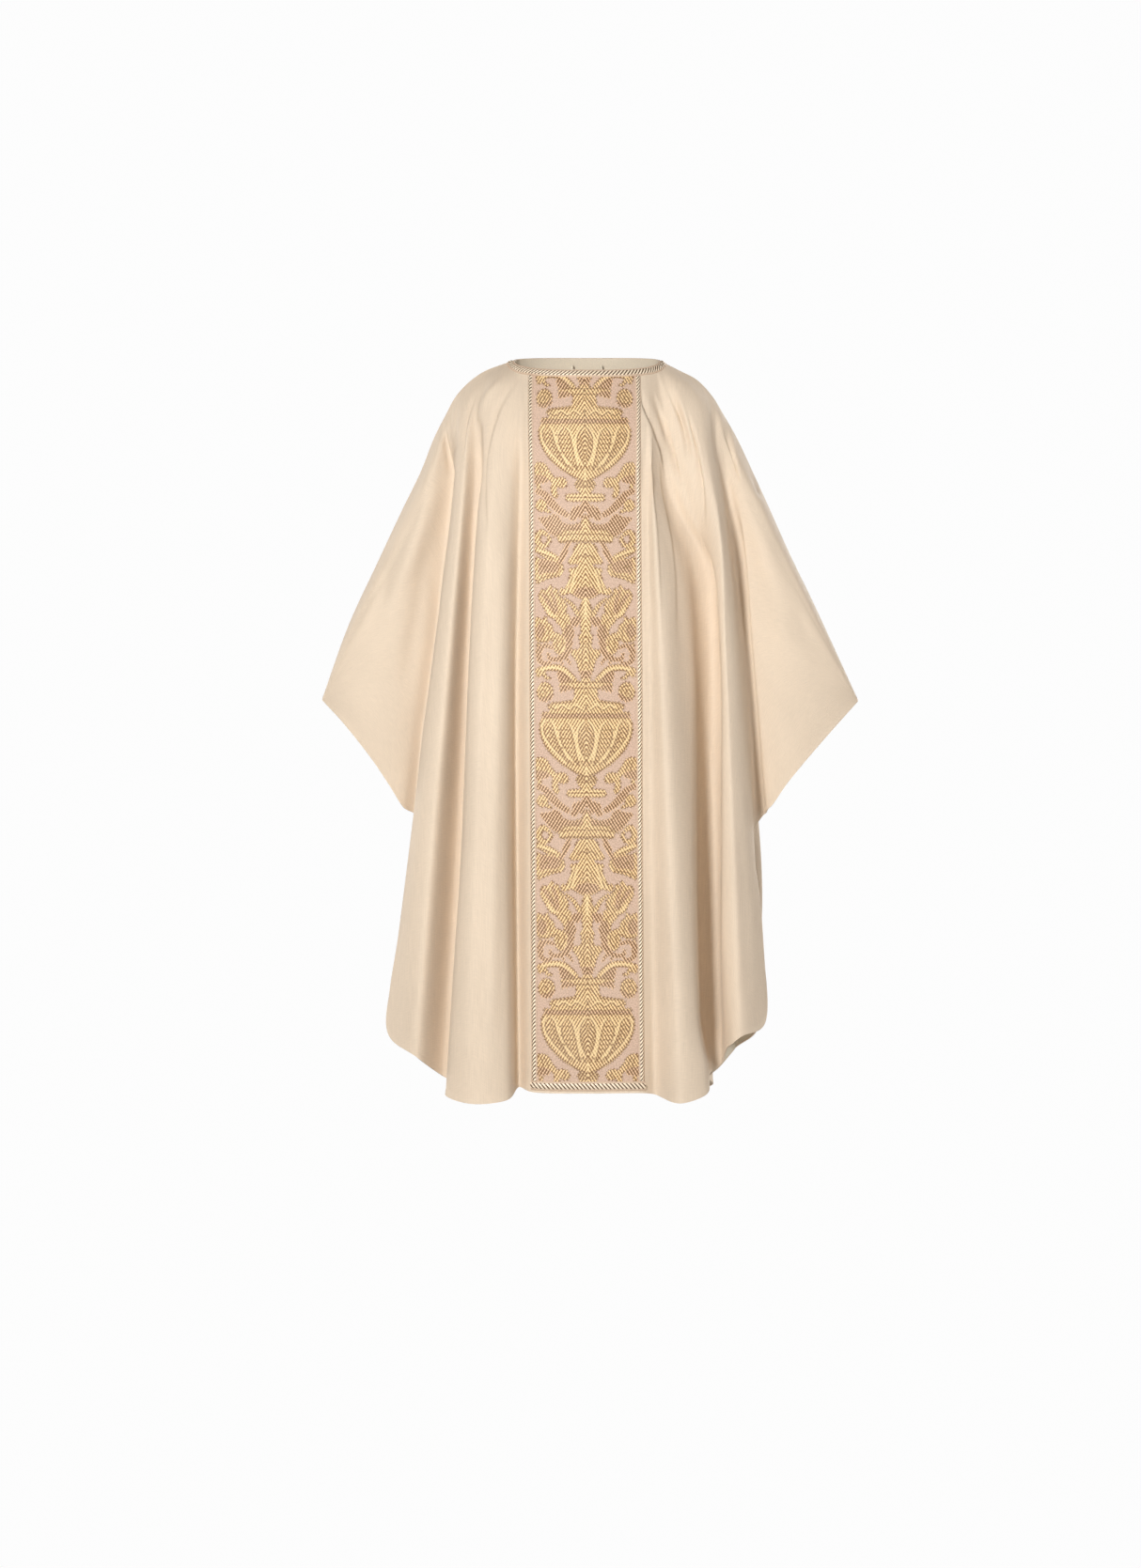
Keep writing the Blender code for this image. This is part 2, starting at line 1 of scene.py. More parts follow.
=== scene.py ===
"""Looks of a chasuble: fine cloth, woven orphreys, twisted-cord braids, tapes and facings.

Metres, +Z up, front towards -Y, wearer's left towards +X.  The front and the back are one
surface each.  A point on it is given by its fold line, counted from the wearer's right wrist
to the left, and its drop, 0 at the neckline or shoulder seam and 1 at the lower edge.
"""
import math

import bpy
import numpy as np
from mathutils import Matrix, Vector
from mathutils.bvhtree import BVHTree

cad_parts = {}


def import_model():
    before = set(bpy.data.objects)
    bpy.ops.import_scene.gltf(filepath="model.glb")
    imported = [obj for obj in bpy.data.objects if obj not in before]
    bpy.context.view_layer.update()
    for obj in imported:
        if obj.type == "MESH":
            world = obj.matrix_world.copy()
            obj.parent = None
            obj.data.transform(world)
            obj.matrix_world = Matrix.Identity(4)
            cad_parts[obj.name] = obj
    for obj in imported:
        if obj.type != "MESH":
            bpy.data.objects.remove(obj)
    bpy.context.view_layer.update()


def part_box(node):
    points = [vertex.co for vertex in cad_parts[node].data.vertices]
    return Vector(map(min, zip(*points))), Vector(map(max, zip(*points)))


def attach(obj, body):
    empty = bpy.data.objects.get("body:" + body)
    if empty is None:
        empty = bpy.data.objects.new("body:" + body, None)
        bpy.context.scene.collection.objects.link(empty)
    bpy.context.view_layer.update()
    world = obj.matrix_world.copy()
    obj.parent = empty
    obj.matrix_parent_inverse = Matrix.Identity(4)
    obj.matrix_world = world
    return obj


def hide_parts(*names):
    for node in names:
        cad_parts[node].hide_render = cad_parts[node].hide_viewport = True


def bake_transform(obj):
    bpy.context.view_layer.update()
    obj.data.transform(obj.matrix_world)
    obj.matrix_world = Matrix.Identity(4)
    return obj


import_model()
LEFT, RIGHT = 1, -1                 # the wearer's sides, as signs of x
SIDE_NAMES = {RIGHT: "right", LEFT: "left"}


def mm(values):
    """A table in millimetres as an array in metres."""
    return np.array(values, float) / 1000


# ------------------------------------------------------------------ dimensions
CLOTH = 0.0012           # wool cloth
SEAM = 0.00006           # half the slit between front and back along a seam
NECK_X = -0.006          # middle of the neckline
NECK_A = 0.127           # half its width
NECK_FRONT = 0.092       # how far it reaches forward
NECK_BACK = 0.080        # and backward
NECK_SIDE_Z = 1.289      # height where neckline and shoulder seam meet
NECK_DROP = 0.023        # front neckline below that
NECK_RISE = 0.010        # back neckline above it
BACK_DEPTH = 0.985       # back folds, against the front's
BACK_WING_DEPTH = 0.95   # and back sleeve drapes
SPREAD = 0.65            # how round a fold turns (0.5 sharp, 1 round)

# Drops of the stations along a fold line
LEVELS = np.array((0.0, 0.05, 0.18, 0.40, 0.68, 1.0))

# Shoulder and arm line, neck side to wrist: distance outward from x = 0, height; mm.
ARM = {
    LEFT: mm(((121, 1289), (157, 1271), (184, 1257), (214, 1226), (234, 1193), (253, 1160),
              (284, 1095), (314, 1029), (347, 955), (390, 866), (432, 775), (469, 694))),
    RIGHT: mm(((133, 1289), (160, 1280), (185, 1270), (206, 1256), (235, 1226), (253, 1193),
               (270, 1160), (296, 1095), (328, 1029), (374, 931), (420, 832), (469, 696))),
}
# Lower edge of each sleeve drape, from the crease beside the body to the wrist; as above.
CUFF = {
    LEFT: mm(((299, 493), (312, 506), (335, 539), (361, 572), (389, 605), (417, 637),
              (469, 694))),
    RIGHT: mm(((302, 493), (325, 508), (345, 539), (366, 572), (391, 605), (415, 637),
               (469, 696))),
}


def fold_table(*rows):
    return [(row[0], mm(row[1:])) for row in rows]


# Fold lines of the front, middle outward.  The first number places the top end: 0..1 along
# a quarter of the neckline, above 1 metres along the shoulder seam.  Then the five stations
# below it: outward, forward, up; mm.
MIDDLE_TOP = -0.0226
MIDDLE = mm(((-10, 120, 1205), (-9, 154, 1060), (-8, 172, 770), (-6, 186, 420), (-4, 197, 17)))
FOLDS = {LEFT: fold_table(
    # orphrey edge, recess beside it, first pleat, its flank, two lines of the deep valley
    (0.523, (87, 100, 1206), (87, 140, 1060), (89, 160, 770), (90, 175, 420), (93, 188, 17)),
    (0.581, (95, 94, 1209), (97, 137, 1060), (101, 158, 770), (104, 171, 420), (109, 173, 15)),
    (0.638, (102, 86, 1213), (107, 147, 1060), (120, 180, 770), (133, 205, 420), (152, 222, 1)),
    (0.698, (114, 72, 1217), (127, 122, 1060), (168, 130, 770), (180, 165, 420), (197, 196, 14)),
    (0.759, (124, 62, 1222), (143, 100, 1060), (202, 82, 770), (206, 83, 420), (211, 99, 52)),
    (0.800, (130, 60, 1227), (156, 97, 1060), (214, 83, 770), (220, 82, 420), (225, 98, 60)),
    # second pleat: inner edge, neck-side line, crown, outer edge
    (0.840, (134, 58, 1231), (178, 108, 1060), (203, 113, 770), (211, 122, 420), (235, 136, 92)),
    (1.000, (148, 52, 1243), (196, 118, 1060), (214, 138, 770), (225, 150, 420), (246, 157, 102)),
    (1.036, (175, 43, 1238), (212, 120, 1060), (230, 150, 770), (246, 164, 420), (259, 163, 113)),
    (1.072, (202, 36, 1215), (230, 100, 1060), (256, 124, 770), (280, 118, 420), (301, 105, 131)),
    # the cloth turning back beside the body, then the crease at the arm
    (1.095, (212, 32, 1202), (238, 80, 1060), (265, 95, 790), (287, 88, 520), (296, 75, 310)),
    (1.114, (224, 27, 1190), (246, 58, 1050), (271, 60, 833), (288, 55, 654), (299, 45, 493)),
), RIGHT: fold_table(
    # orphrey edge, valley beside it, first pleat's inner side, crown and flank
    (0.594, (108, 98, 1206), (106, 140, 1060), (105, 160, 770), (103, 174, 420), (101, 186, 19)),
    (0.688, (118, 85, 1215), (121, 126, 1060), (127, 134, 770), (127, 136, 420), (123, 152, 26)),
    (0.788, (130, 70, 1232), (139, 142, 1060), (145, 168, 770), (148, 190, 420), (143, 206, 6)),
    (1.000, (151, 54, 1248), (170, 150, 1060), (183, 182, 770), (193, 205, 420), (201, 220, 0)),
    (1.022, (173, 44, 1248), (191, 130, 1060), (209, 156, 770), (224, 170, 420), (248, 184, 12)),
    # two lines of the valley, second pleat's crown and outer edge
    (1.040, (186, 39, 1240), (191, 103, 1060), (202, 108, 770), (217, 106, 420), (239, 112, 32)),
    (1.054, (194, 37, 1234), (199, 101, 1060), (214, 108, 770), (231, 106, 420), (254, 111, 42)),
    (1.072, (212, 38, 1220), (220, 118, 1060), (245, 150, 770), (275, 160, 420), (301, 158, 79)),
    (1.097, (229, 34, 1203), (237, 94, 1060), (274, 120, 770), (314, 112, 420), (351, 96, 117)),
    # the cloth turning back beside the body, then the crease at the arm
    (1.111, (238, 30, 1193), (237, 72, 1060), (268, 86, 784), (299, 80, 523), (321, 69, 302)),
    (1.123, (245, 25, 1178), (238, 50, 1062), (258, 56, 833), (280, 52, 654), (302, 41, 493)),
)}
# Sleeve drape lines: share of the way along arm and cuff, depth in front of the arm.
WING = ((0.10, 0.064), (0.26, 0.068), (0.44, 0.064), (0.63, 0.054), (0.82, 0.036),
        (0.93, 0.020), (0.992, 0.007))
WING_SHAPE = np.array((0.52, 0.94, 1.05, 1.00, 0.88))      # share of that depth per station
# Back folds, per station: how much of the arms' difference they take up, and how far the
# left ones are drawn in beyond BACK_INSIDE, to stay within the front's outline.
BACK_FADE = np.array((0.8, 0.9, 0.6, 0.3, 0.0))
BACK_NARROW = np.array((0.0, 0.0, 0.03, 0.09, 0.235))
BACK_INSIDE = 0.12

# The pleat beside the left front orphrey edge runs on under its neighbour; mm.
# Height, x of the hollow and how far it moves, x of the crest after it and how far it moves.
LAP = mm((
    (270, 220.0, 0, 254.0, 0), (440, 212.0, 3.5, 247.6, 1), (600, 208.7, 7, 241.0, 2),
    (770, 200.6, 12.5, 231.4, 3.5), (850, 189.0, 17, 228.0, 4), (930, 179.6, 20, 223.3, 4),
    (960, 173.0, 20, 223.3, 4), (993, 163.4, 18, 218.4, 3.5), (1030, 157.0, 12, 215.0, 3),
    (1060, 150.5, 6, 210.0, 1.5), (1100, 147.0, 0, 194.0, 0)))

# Small creases of the front: a path of (x, z) points, then width and height of the crease
# at its middle, all mm, and its steep side (1: +X, -1: -X, 0: both alike).
# Negative heights are hollows.  They fade out towards both ends.
CREASES = (
    # where one pleat lies over the next: the cloth dips, then turns up sharply
    (((-178, 1250), (-191, 1129), (-203, 964), (-213, 768), (-217, 569), (-224, 418),
      (-238, 268), (-252, 100)), 16, -1.2, 1),
    (((-232, 1130), (-250, 997), (-275, 768), (-293, 644), (-308, 489), (-325, 358),
      (-340, 193)), 15, -3, 1),
    (((106, 1150), (136, 1080), (163, 1010), (184, 970), (199, 930), (208, 850), (213, 768),
      (215, 600), (215, 440), (214, 278), (220, 40)), 32, -16, 1),
    (((214, 1222), (224, 1160), (239, 1062), (255, 980), (264, 899), (275, 768), (299, 503),
      (318, 330)), 25, -10, 1),
    # wearer's left: hollows and ridges fanning out from the shoulder
    (((100, 1250), (108, 1190), (112, 1110), (120, 960), (128, 760)), 12, -2, -1),
    (((66, 1262), (92, 1205), (120, 1140), (146, 1060)), 8, -6, -1),
    (((104, 1238), (128, 1180), (150, 1100), (160, 1040)), 7, -6, 1),
    (((134, 1236), (156, 1175), (170, 1090)), 8.5, -7, -1),
    (((160, 1225), (180, 1150), (192, 1070), (197, 980)), 11, -8, 1),
    (((150, 1236), (170, 1170), (184, 1100)), 6, 5, 0),
    (((236, 1196), (248, 1135), (260, 1060)), 12, -8.5, 1),
    (((280, 1112), (290, 1080), (298, 1040)), 7, -7, 1),
    (((262, 1120), (300, 1000), (345, 880), (380, 790)), 22, 5, 0),
    (((240, 1080), (275, 940), (312, 800), (345, 670)), 20, -5, 0),
    (((300, 1000), (352, 870), (400, 760)), 16, -4, 0),
    (((116, 1150), (130, 1060), (142, 930), (146, 760)), 17, 3, 1),
    # wearer's right
    (((-112, 1268), (-152, 1210), (-178, 1130), (-178, 960)), 9, -6, 1),
    (((-148, 1262), (-182, 1215), (-194, 1150)), 6.5, 5.5, 0),
    (((-196, 1235), (-214, 1180), (-222, 1100)), 9, -6, 1),
    (((-255, 1180), (-246, 1130), (-236, 1070)), 7.5, -5.5, 1),
    (((-232, 1215), (-238, 1160), (-234, 1100)), 6, -4.5, 0),
    (((-262, 1130), (-290, 1020), (-330, 900), (-366, 800)), 20, 5, 0),
    (((-340, 1000), (-356, 930), (-366, 850)), 15, -3.5, 0),
    (((-250, 1060), (-282, 930), (-312, 780), (-335, 660)), 18, -4.8, 0),
    (((-300, 1040), (-350, 900), (-395, 780)), 15, -3.8, 0),
    # long soft waves down the pleats
    (((-148, 1000), (-158, 700), (-166, 400), (-172, 80)), 13, 4, 0),
    (((-166, 860), (-180, 600), (-190, 300), (-196, 60)), 11, -3, 0),
    (((-268, 700), (-296, 440), (-320, 180)), 12, 3.5, 0),
    (((112, 900), (120, 640), (130, 360), (140, 60)), 11, -1.4, 0),
    (((128, 700), (142, 420), (160, 90)), 12, 1.6, 0),
    (((232, 900), (246, 640), (262, 380), (272, 150)), 11, -2, 0),
    (((256, 600), (276, 380), (288, 170)), 10, 1.8, 0),
)
BACK_CREASE = 0.8        # height of the mirrored creases of the back, against the front's


# ------------------------------------------------------------------ curves
def unit(vectors):
    return vectors / np.maximum(np.linalg.norm(vectors, axis=-1, keepdims=True), 1e-12)


def run(points):
    """Distance of each point from the first, along straight pieces."""
    return np.concatenate([[0.0], np.cumsum(np.linalg.norm(np.diff(points, axis=0), axis=1))])


def slopes(at, values):
    """Tangents of a smooth curve through values at parameters `at`."""
    gap = np.diff(at, axis=0)[..., None]
    rise = np.diff(values, axis=0) / gap
    out = np.empty_like(values)
    out[1:-1] = (rise[:-1] * gap[1:] + rise[1:] * gap[:-1]) / (gap[:-1] + gap[1:])
    out[0], out[-1] = rise[0], rise[-1]
    return out


def hermite(values, tangents, i, gap, f):
    """Cubic between entries i and i + 1, at share f of the gap."""
    f2, f3 = f * f, f * f * f
    return ((2 * f3 - 3 * f2 + 1) * values[i] + (f3 - 2 * f2 + f) * gap * tangents[i]
            + (3 * f2 - 2 * f3) * values[i + 1] + (f3 - f2) * gap * tangents[i + 1])


def resample(values, source, target, axis=0):
    """Smooth values given at stations source to stations target, along an axis."""
    values = np.moveaxis(values, axis, 0)
    shape = values.shape
    values = values.reshape(shape[0], -1)
    target = np.asarray(target, float)
    i = np.clip(np.searchsorted(source, target, side="right") - 1, 0, len(source) - 2)
    gap = (source[i + 1] - source[i])[:, None]
    share = (target - source[i])[:, None] / gap
    out = hermite(values, slopes(source, values), i, gap, share)
    return np.moveaxis(out.reshape((len(target),) + shape[1:]), 0, axis)


def along(points, shares):
    """Points at shares (0..1) of the length of a smooth line through points."""
    at = run(points)
    return resample(points, at, np.clip(shares, 0.0, 1.0) * at[-1])


def to_segment(x, y, start, step):
    """Share along the segment nearest to (x, y), and the offset from there."""
    share = ((x - start[0]) * step[0] + (y - start[1]) * step[1]) / max(step @ step, 1e-14)
    share = np.clip(share, 0, 1)
    return share, x - start[0] - share * step[0], y - start[1] - share * step[1]


# ------------------------------------------------------------------ fold lines
def top_edge(tops, back):
    """Neckline (|top| < 1) and shoulder seam (|top| - 1 in metres) of a panel."""
    face = 1 if back else -1
    out = np.zeros(tops.shape + (3,))
    angle = np.clip(tops, -1, 1) * math.pi / 2
    lift = 1.0 - (1.0 - np.cos(angle)) ** 1.3
    out[..., 0] = NECK_X + NECK_A * np.sin(angle)
    out[..., 1] = face * (SEAM + (NECK_BACK if back else NECK_FRONT) * np.cos(angle))
    out[..., 2] = NECK_SIDE_Z + lift * (NECK_RISE if back else -NECK_DROP)
    for side, arm in ARM.items():
        seam = tops * side > 1.0
        if seam.any():
            line = along(arm, (tops[seam] * side - 1.0) / run(arm)[-1])
            out[seam, 0] = side * line[:, 0]
            out[seam, 1] = face * SEAM
            out[seam, 2] = line[:, 1]
    return out


def wing_lines(side):
    """Fold lines of a sleeve drape, from the crease to the wrist."""
    arm, start = ARM[side], FOLDS[side][-1][0]
    total = run(arm)[-1]
    lines = []
    for share, depth in WING:
        top_at = start + share * (1.0 + total - start)
        top = along(arm, [(top_at - 1.0) / total])[0]
        low = along(CUFF[side], [share])[0]
        line = top + (low - top) * LEVELS[1:, None]
        lines.append((top_at, np.stack([line[:, 0], depth * WING_SHAPE, line[:, 1]], 1)))
    return lines


def arm_offset(z):
    """How much farther out the left arm line runs than the right one at height z."""
    left, right = (np.interp(z, ARM[side][::-1, 1], ARM[side][::-1, 0])
                   for side in (LEFT, RIGHT))
    return left - right


def back_fold(top, points, side):
    """A front fold of the other side, moved to this side of the back."""
    if top > 1.0:
        top = 1.0 + (top - 1.0) * (FOLDS[side][-1][0] - 1.0) / (FOLDS[-side][-1][0] - 1.0)
    x, depth, z = points.T
    wide = x + side * arm_offset(z) * BACK_FADE
    if side == LEFT:
        wide = wide - BACK_NARROW * np.maximum(wide - BACK_INSIDE, 0.0)
    return top, np.stack([wide, depth * BACK_DEPTH, z], 1)


def panel_lines(back):
    """Fold lines of a panel, right wrist to left wrist: top numbers, points (line, station,
    xyz), and the number of the middle line."""
    halves = {}
    for side in (RIGHT, LEFT):
        lines = FOLDS[side] + wing_lines(side)
        if back:
            lines = [back_fold(*fold, side) for fold in FOLDS[-side]]
            lines += [(top, points * (1, BACK_WING_DEPTH, 1))
                      for top, points in wing_lines(side)]
        halves[side] = [(side * top, points * (side, 1 if back else -1, 1))
                        for top, points in lines]
    middle = (0.0, MIDDLE * (1, BACK_DEPTH, 1)) if back else (MIDDLE_TOP, MIDDLE * (1, -1, 1))
    rows = halves[RIGHT][::-1] + [middle] + halves[LEFT]
    tops = np.array([top for top, _ in rows])
    points = np.array([points for _, points in rows])
    points = np.concatenate([top_edge(tops, back)[:, None], points], 1)
    return tops, points, len(halves[RIGHT])


def across_lines(rows, lines):
    """Smooth points at line positions, from rows of shape (line, station, xyz)."""
    step = np.linalg.norm(np.diff(rows, axis=0), axis=2) ** SPREAD + 1e-4
    at = np.concatenate([np.zeros((1, step.shape[1])), np.cumsum(step, axis=0)])
    i = np.clip(lines.astype(int), 0, len(rows) - 2)
    gap = (at[i + 1] - at[i])[..., None]
    return hermite(rows, slopes(at, rows), i, gap, (lines - i)[:, None, None])


def keep_off_seam(grid, back):
    """Keeps the front in front of the seam plane and the back behind it."""
    y = grid[..., 1]
    y[:] = np.maximum(y, SEAM) if back else np.minimum(y, -SEAM)


def surface(tops, points, back, lines, drops):
    """Panel points at line positions and drops, shape (drops, lines, xyz)."""
    rows = resample(np.swapaxes(points, 0, 1), LEVELS, drops)
    out = np.swapaxes(across_lines(np.swapaxes(rows, 0, 1), lines), 0, 1)
    # the first centimetres follow the neckline and the seam exactly
    wanted = top_edge(np.interp(lines, np.arange(len(tops)), tops), back)
    found = across_lines(points[:, :1], lines)[:, 0]
    share = np.clip(1.0 - drops / 0.06, 0, 1) ** 2
    out += share[:, None, None] * (wanted - found)[None]
    keep_off_seam(out, back)
    return out


# ------------------------------------------------------------------ the fine cloth
def smooth_normals(grid, back):
    across, down = np.gradient(grid, axis=1), np.gradient(grid, axis=0)
    return unit(np.cross(across, down) if back else np.cross(down, across))


def lap(grid):
    """Slides the pleat sideways, after the table LAP."""
    x, z = grid[..., 0], grid[..., 2]
    low, low_by, top, top_by = (np.interp(z, LAP[:, 0], LAP[:, k]) for k in range(1, 5))
    rise = low_by * np.clip((x - low) / 0.040 + 1, 0, 1)
    across = low_by + (top_by - low_by) * np.clip((x - low) / (top - low), 0, 1)
    fall = top_by * np.clip(1 - (x - top) / 0.036, 0, 1)
    grid[..., 0] += np.where(x < low, rise, np.where(x < top, across, fall))


def round_folds(grid, drops):
    """Rounds the folds a little, less towards the top."""
    fade = np.clip((drops - 0.004) / 0.05, 0, 1)[:, None, None]
    for _ in range(6):
        gap = np.linalg.norm(np.diff(grid, axis=1), axis=2, keepdims=True) + 1e-6
        before, after = gap[:, :-1], gap[:, 1:]
        mean = (grid[:, :-2] * after + grid[:, 2:] * before) / (before + after)
        grid[:, 1:-1] += (mean - grid[:, 1:-1]) * 0.5 * fade


def add_creases(grid, panel):
    """Adds the small creases, each along the cloth's own normal."""
    mirror = -1 if panel.back else 1
    strength = BACK_CREASE if panel.back else 1
    shares = np.linspace(0, 1, 34)
    lift = np.zeros(grid.shape[:2])
    x, z = grid[..., 0], grid[..., 2]
    for path, width, height, steep in CREASES:
        path = mm(path) * (mirror, 1)
        at = run(path)
        line = resample(path, at / at[-1], shares)
        near = np.where((abs(x - line[:, 0].mean()) < 0.18)
                        & (z > line[:, 1].min() - 0.05) & (z < line[:, 1].max() + 0.05))
        best = np.full(len(near[0]), 9.0)
        place, side = np.zeros(len(best)), np.zeros(len(best))
        for k in range(len(shares) - 1):
            share, off_x, off_z = to_segment(x[near], z[near], line[k], line[k + 1] - line[k])
            gap = np.hypot(off_x, off_z)
            closer = gap < best
            best[closer], side[closer] = gap[closer], off_x[closer]
            place[closer] = (shares[k] + (shares[k + 1] - shares[k]) * share)[closer]
        end = 0.10 if at[-1] > 0.6 else 0.35          # share of the path it fades over
        fade = np.clip(np.minimum(place, 1 - place) / end, 0, 1)
        fade = fade * fade * (3 - 2 * fade)
        width = width / 1000
        wide = np.where(side * steep * mirror > 0, 0.22 * width, width)
        lift[near] += strength * height / 1000 * np.exp(-(best / wide) ** 2) * fade
    # none on the orphrey or at the very top
    calm = np.clip((abs(panel.lines - panel.mid) - 1.0) / 0.4, 0, 1)[None, :]
    top = np.clip((panel.drops - 0.014) / 0.035, 0, 1)[:, None]
    return grid + smooth_normals(grid, panel.back) * (lift * calm * top)[..., None]


class Panel:
    """The front or back: its smoothed surface, with points and normals anywhere on it."""

    def __init__(self, back):
        self.back, self.side = back, "back" if back else "front"
        self.tops, folds, self.mid = panel_lines(back)
        lines = [0.0]
        for i in range(len(folds) - 1):
            gap = max(np.linalg.norm(folds[i + 1, k] - folds[i, k]) for k in (2, 3, 4))
            steps = max(4, int(math.ceil(gap / 0.0033)))
            lines += list(i + (np.arange(steps) + 1) / steps)
        self.lines = np.array(lines)
        self.drops = np.concatenate([
            [0.0, 0.002, 0.005, 0.009], np.linspace(0.013, 0.979, 176),
            np.linspace(0.979, 1.0, 17)[1:]])
        grid = surface(self.tops, folds, back, self.lines, self.drops)
        if not back:
            lap(grid)
        round_folds(grid, self.drops)
        grid = add_creases(grid, self)
        keep_off_seam(grid, back)
        self.points = grid
        self.normals = smooth_normals(grid, back)
        # UV: metres across from the middle line, metres down from the top edge
        across, down = np.zeros(grid.shape[:2]), np.zeros(grid.shape[:2])
        across[:, 1:] = np.cumsum(np.linalg.norm(np.diff(grid, axis=1), axis=2), axis=1)
        down[1:] = np.cumsum(np.linalg.norm(np.diff(grid, axis=0), axis=2), axis=0)
        self.middle_column = k = int(np.argmin(abs(self.lines - self.mid)))
        self.uv = np.stack([across - across[:, k:k + 1], -down], -1)

    def at(self, lines, drops, what="points"):
        values = resample(getattr(self, what), self.lines, lines, 1)
        return resample(values, self.drops, drops, 0)

    def patch(self, lines, drops):
        """Points, unit normals and UVs."""
        normals = unit(self.at(lines, drops, "normals"))
        return self.at(lines, drops), normals, self.at(lines, drops, "uv")


# ------------------------------------------------------------------ mesh helpers
def make_mesh(name, verts, quads, uv, attrs=None, sharp=50.0, tris=None, orient=True):
    """A smooth-shaded object; sharp: edge angle in degrees, orient: turn faces outward."""
    if tris is None:
        tris = np.zeros((0, 3), int)
    if orient:
        a, b, c, d = (verts[quads[:, k]] for k in range(4))
        volume = np.einsum("ij,ij->", a, np.cross(b, c)) + np.einsum("ij,ij->", a, np.cross(c, d))
        a, b, c = (verts[tris[:, k]] for k in range(3))
        volume += np.einsum("ij,ij->", a, np.cross(b, c))
        if volume < 0:
            quads, tris = quads[:, ::-1], tris[:, ::-1]
    mesh = bpy.data.meshes.new(name)
    mesh.vertices.add(len(verts))
    mesh.vertices.foreach_set("co", np.asarray(verts, np.float32).ravel())
    loops = np.concatenate([quads.ravel(), tris.ravel()]).astype(np.int32)
    mesh.loops.add(len(loops))
    mesh.loops.foreach_set("vertex_index", loops)
    count = len(quads)
    start = np.concatenate([np.arange(count) * 4, count * 4 + np.arange(len(tris)) * 3])
    mesh.polygons.add(len(start))
    mesh.polygons.foreach_set("loop_start", start.astype(np.int32))
    mesh.update(calc_edges=True)
    mesh.validate(clean_customdata=False)
    layer = mesh.uv_layers.new(name="Cloth")
    layer.data.foreach_set("uv", np.asarray(uv, np.float32)[loops].ravel())
    for key, values in (attrs or {}).items():
        attribute = mesh.attributes.new(key, "FLOAT", "POINT")
        attribute.data.foreach_set("value", np.asarray(values, np.float32).ravel())
    mesh.shade_smooth()
    mesh.set_sharp_from_angle(angle=math.radians(sharp))
    obj = bpy.data.objects.new(name, mesh)
    bpy.context.scene.collection.objects.link(obj)
    return obj


def grid_quads(index):
    """Quads of a grid of vertex numbers."""
    corners = (index[:-1, :-1], index[1:, :-1], index[1:, 1:], index[:-1, 1:])
    return np.stack(corners, -1).reshape(-1, 4)


def grid_and_rim(rows, columns):
    """Vertex numbers of a grid's quads and of its outline."""
    index = np.arange(rows * columns).reshape(rows, columns)
    rim = np.concatenate([index[0, :-1], index[:-1, -1], index[-1, :0:-1], index[:0:-1, 0]])
    return grid_quads(index), rim


def slab(name, top, bottom, uv):
    """A closed sheet between two grids (rows, columns, xyz)."""
    face, rim = grid_and_rim(*top.shape[:2])
    count = top.shape[0] * top.shape[1]
    ahead = np.roll(rim, -1)
    edge = np.stack([rim, ahead, ahead + count, rim + count], -1)
    quads = np.concatenate([face, face[:, ::-1] + count, edge])
    verts = np.concatenate([top.reshape(-1, 3), bottom.reshape(-1, 3)])
    return make_mesh(name, verts, quads, np.concatenate([uv.reshape(-1, 2)] * 2))


def face_sheet(name, top, bottom, uv, attrs):
    """A sheet sewn down all round: its face, and its edge turned down to the cloth."""
    face, rim = grid_and_rim(*top.shape[:2])
    low = np.arange(len(rim)) + top.shape[0] * top.shape[1]
    quads = np.concatenate([face, np.stack([rim, np.roll(rim, -1), np.roll(low, -1), low], -1)])
    if top[:, :, 1].mean() > 0:
        quads = quads[:, ::-1]
    verts = np.concatenate([top.reshape(-1, 3), bottom.reshape(-1, 3)[rim]])
    uv = uv.reshape(-1, 2)
    attrs = {key: np.concatenate([v.ravel(), v.ravel()[rim]]) for key, v in attrs.items()}
    return make_mesh(name, verts, quads, np.concatenate([uv, uv[rim]]), attrs, orient=False)


def tube(name, rings, uv, attrs=None, closed=False, sharp=60.0):
    """A tube of closed loops, rings: (stations, loop points, xyz); ends joined or capped."""
    stations, around = rings.shape[:2]
    index = np.arange(stations * around).reshape(stations, around)
    last = None if closed else -1
    here, ahead = index[:last], np.roll(index, -1, axis=0)[:last]
    quads = np.stack([here, ahead, np.roll(ahead, -1, axis=1), np.roll(here, -1, axis=1)], -1)
    verts, flat_uv, tris = rings.reshape(-1, 3), uv.reshape(-1, 2), None
    attrs = {key: values.ravel() for key, values in (attrs or {}).items()}
    if not closed:
        verts = np.concatenate([verts, [rings[0].mean(0), rings[-1].mean(0)]])
        first, final = index[0], index[-1]
        centre = np.full(around, stations * around)
        tris = np.concatenate([np.stack([first, np.roll(first, -1), centre], -1),
                               np.stack([np.roll(final, -1), final, centre + 1], -1)])
        flat_uv = np.concatenate([flat_uv, [uv[0].mean(0), uv[-1].mean(0)]])
        attrs = {key: np.concatenate([v, v[:1], v[-1:]]) for key, v in attrs.items()}
    return make_mesh(name, verts, quads.reshape(-1, 4), flat_uv, attrs, sharp, tris)


# ------------------------------------------------------------------ the woven orphrey
# The design repeats down the orphrey and is mirrored about the middle.
REPEAT = 0.509
UNIT = 0.1355e-3         # drawing unit of the tables below
CELL = 0.0005            # grid on which distances to the shapes are kept
HALF_W = 0.0930
CORNER_CUT = 0.22        # share of each side cut off at an area's corners

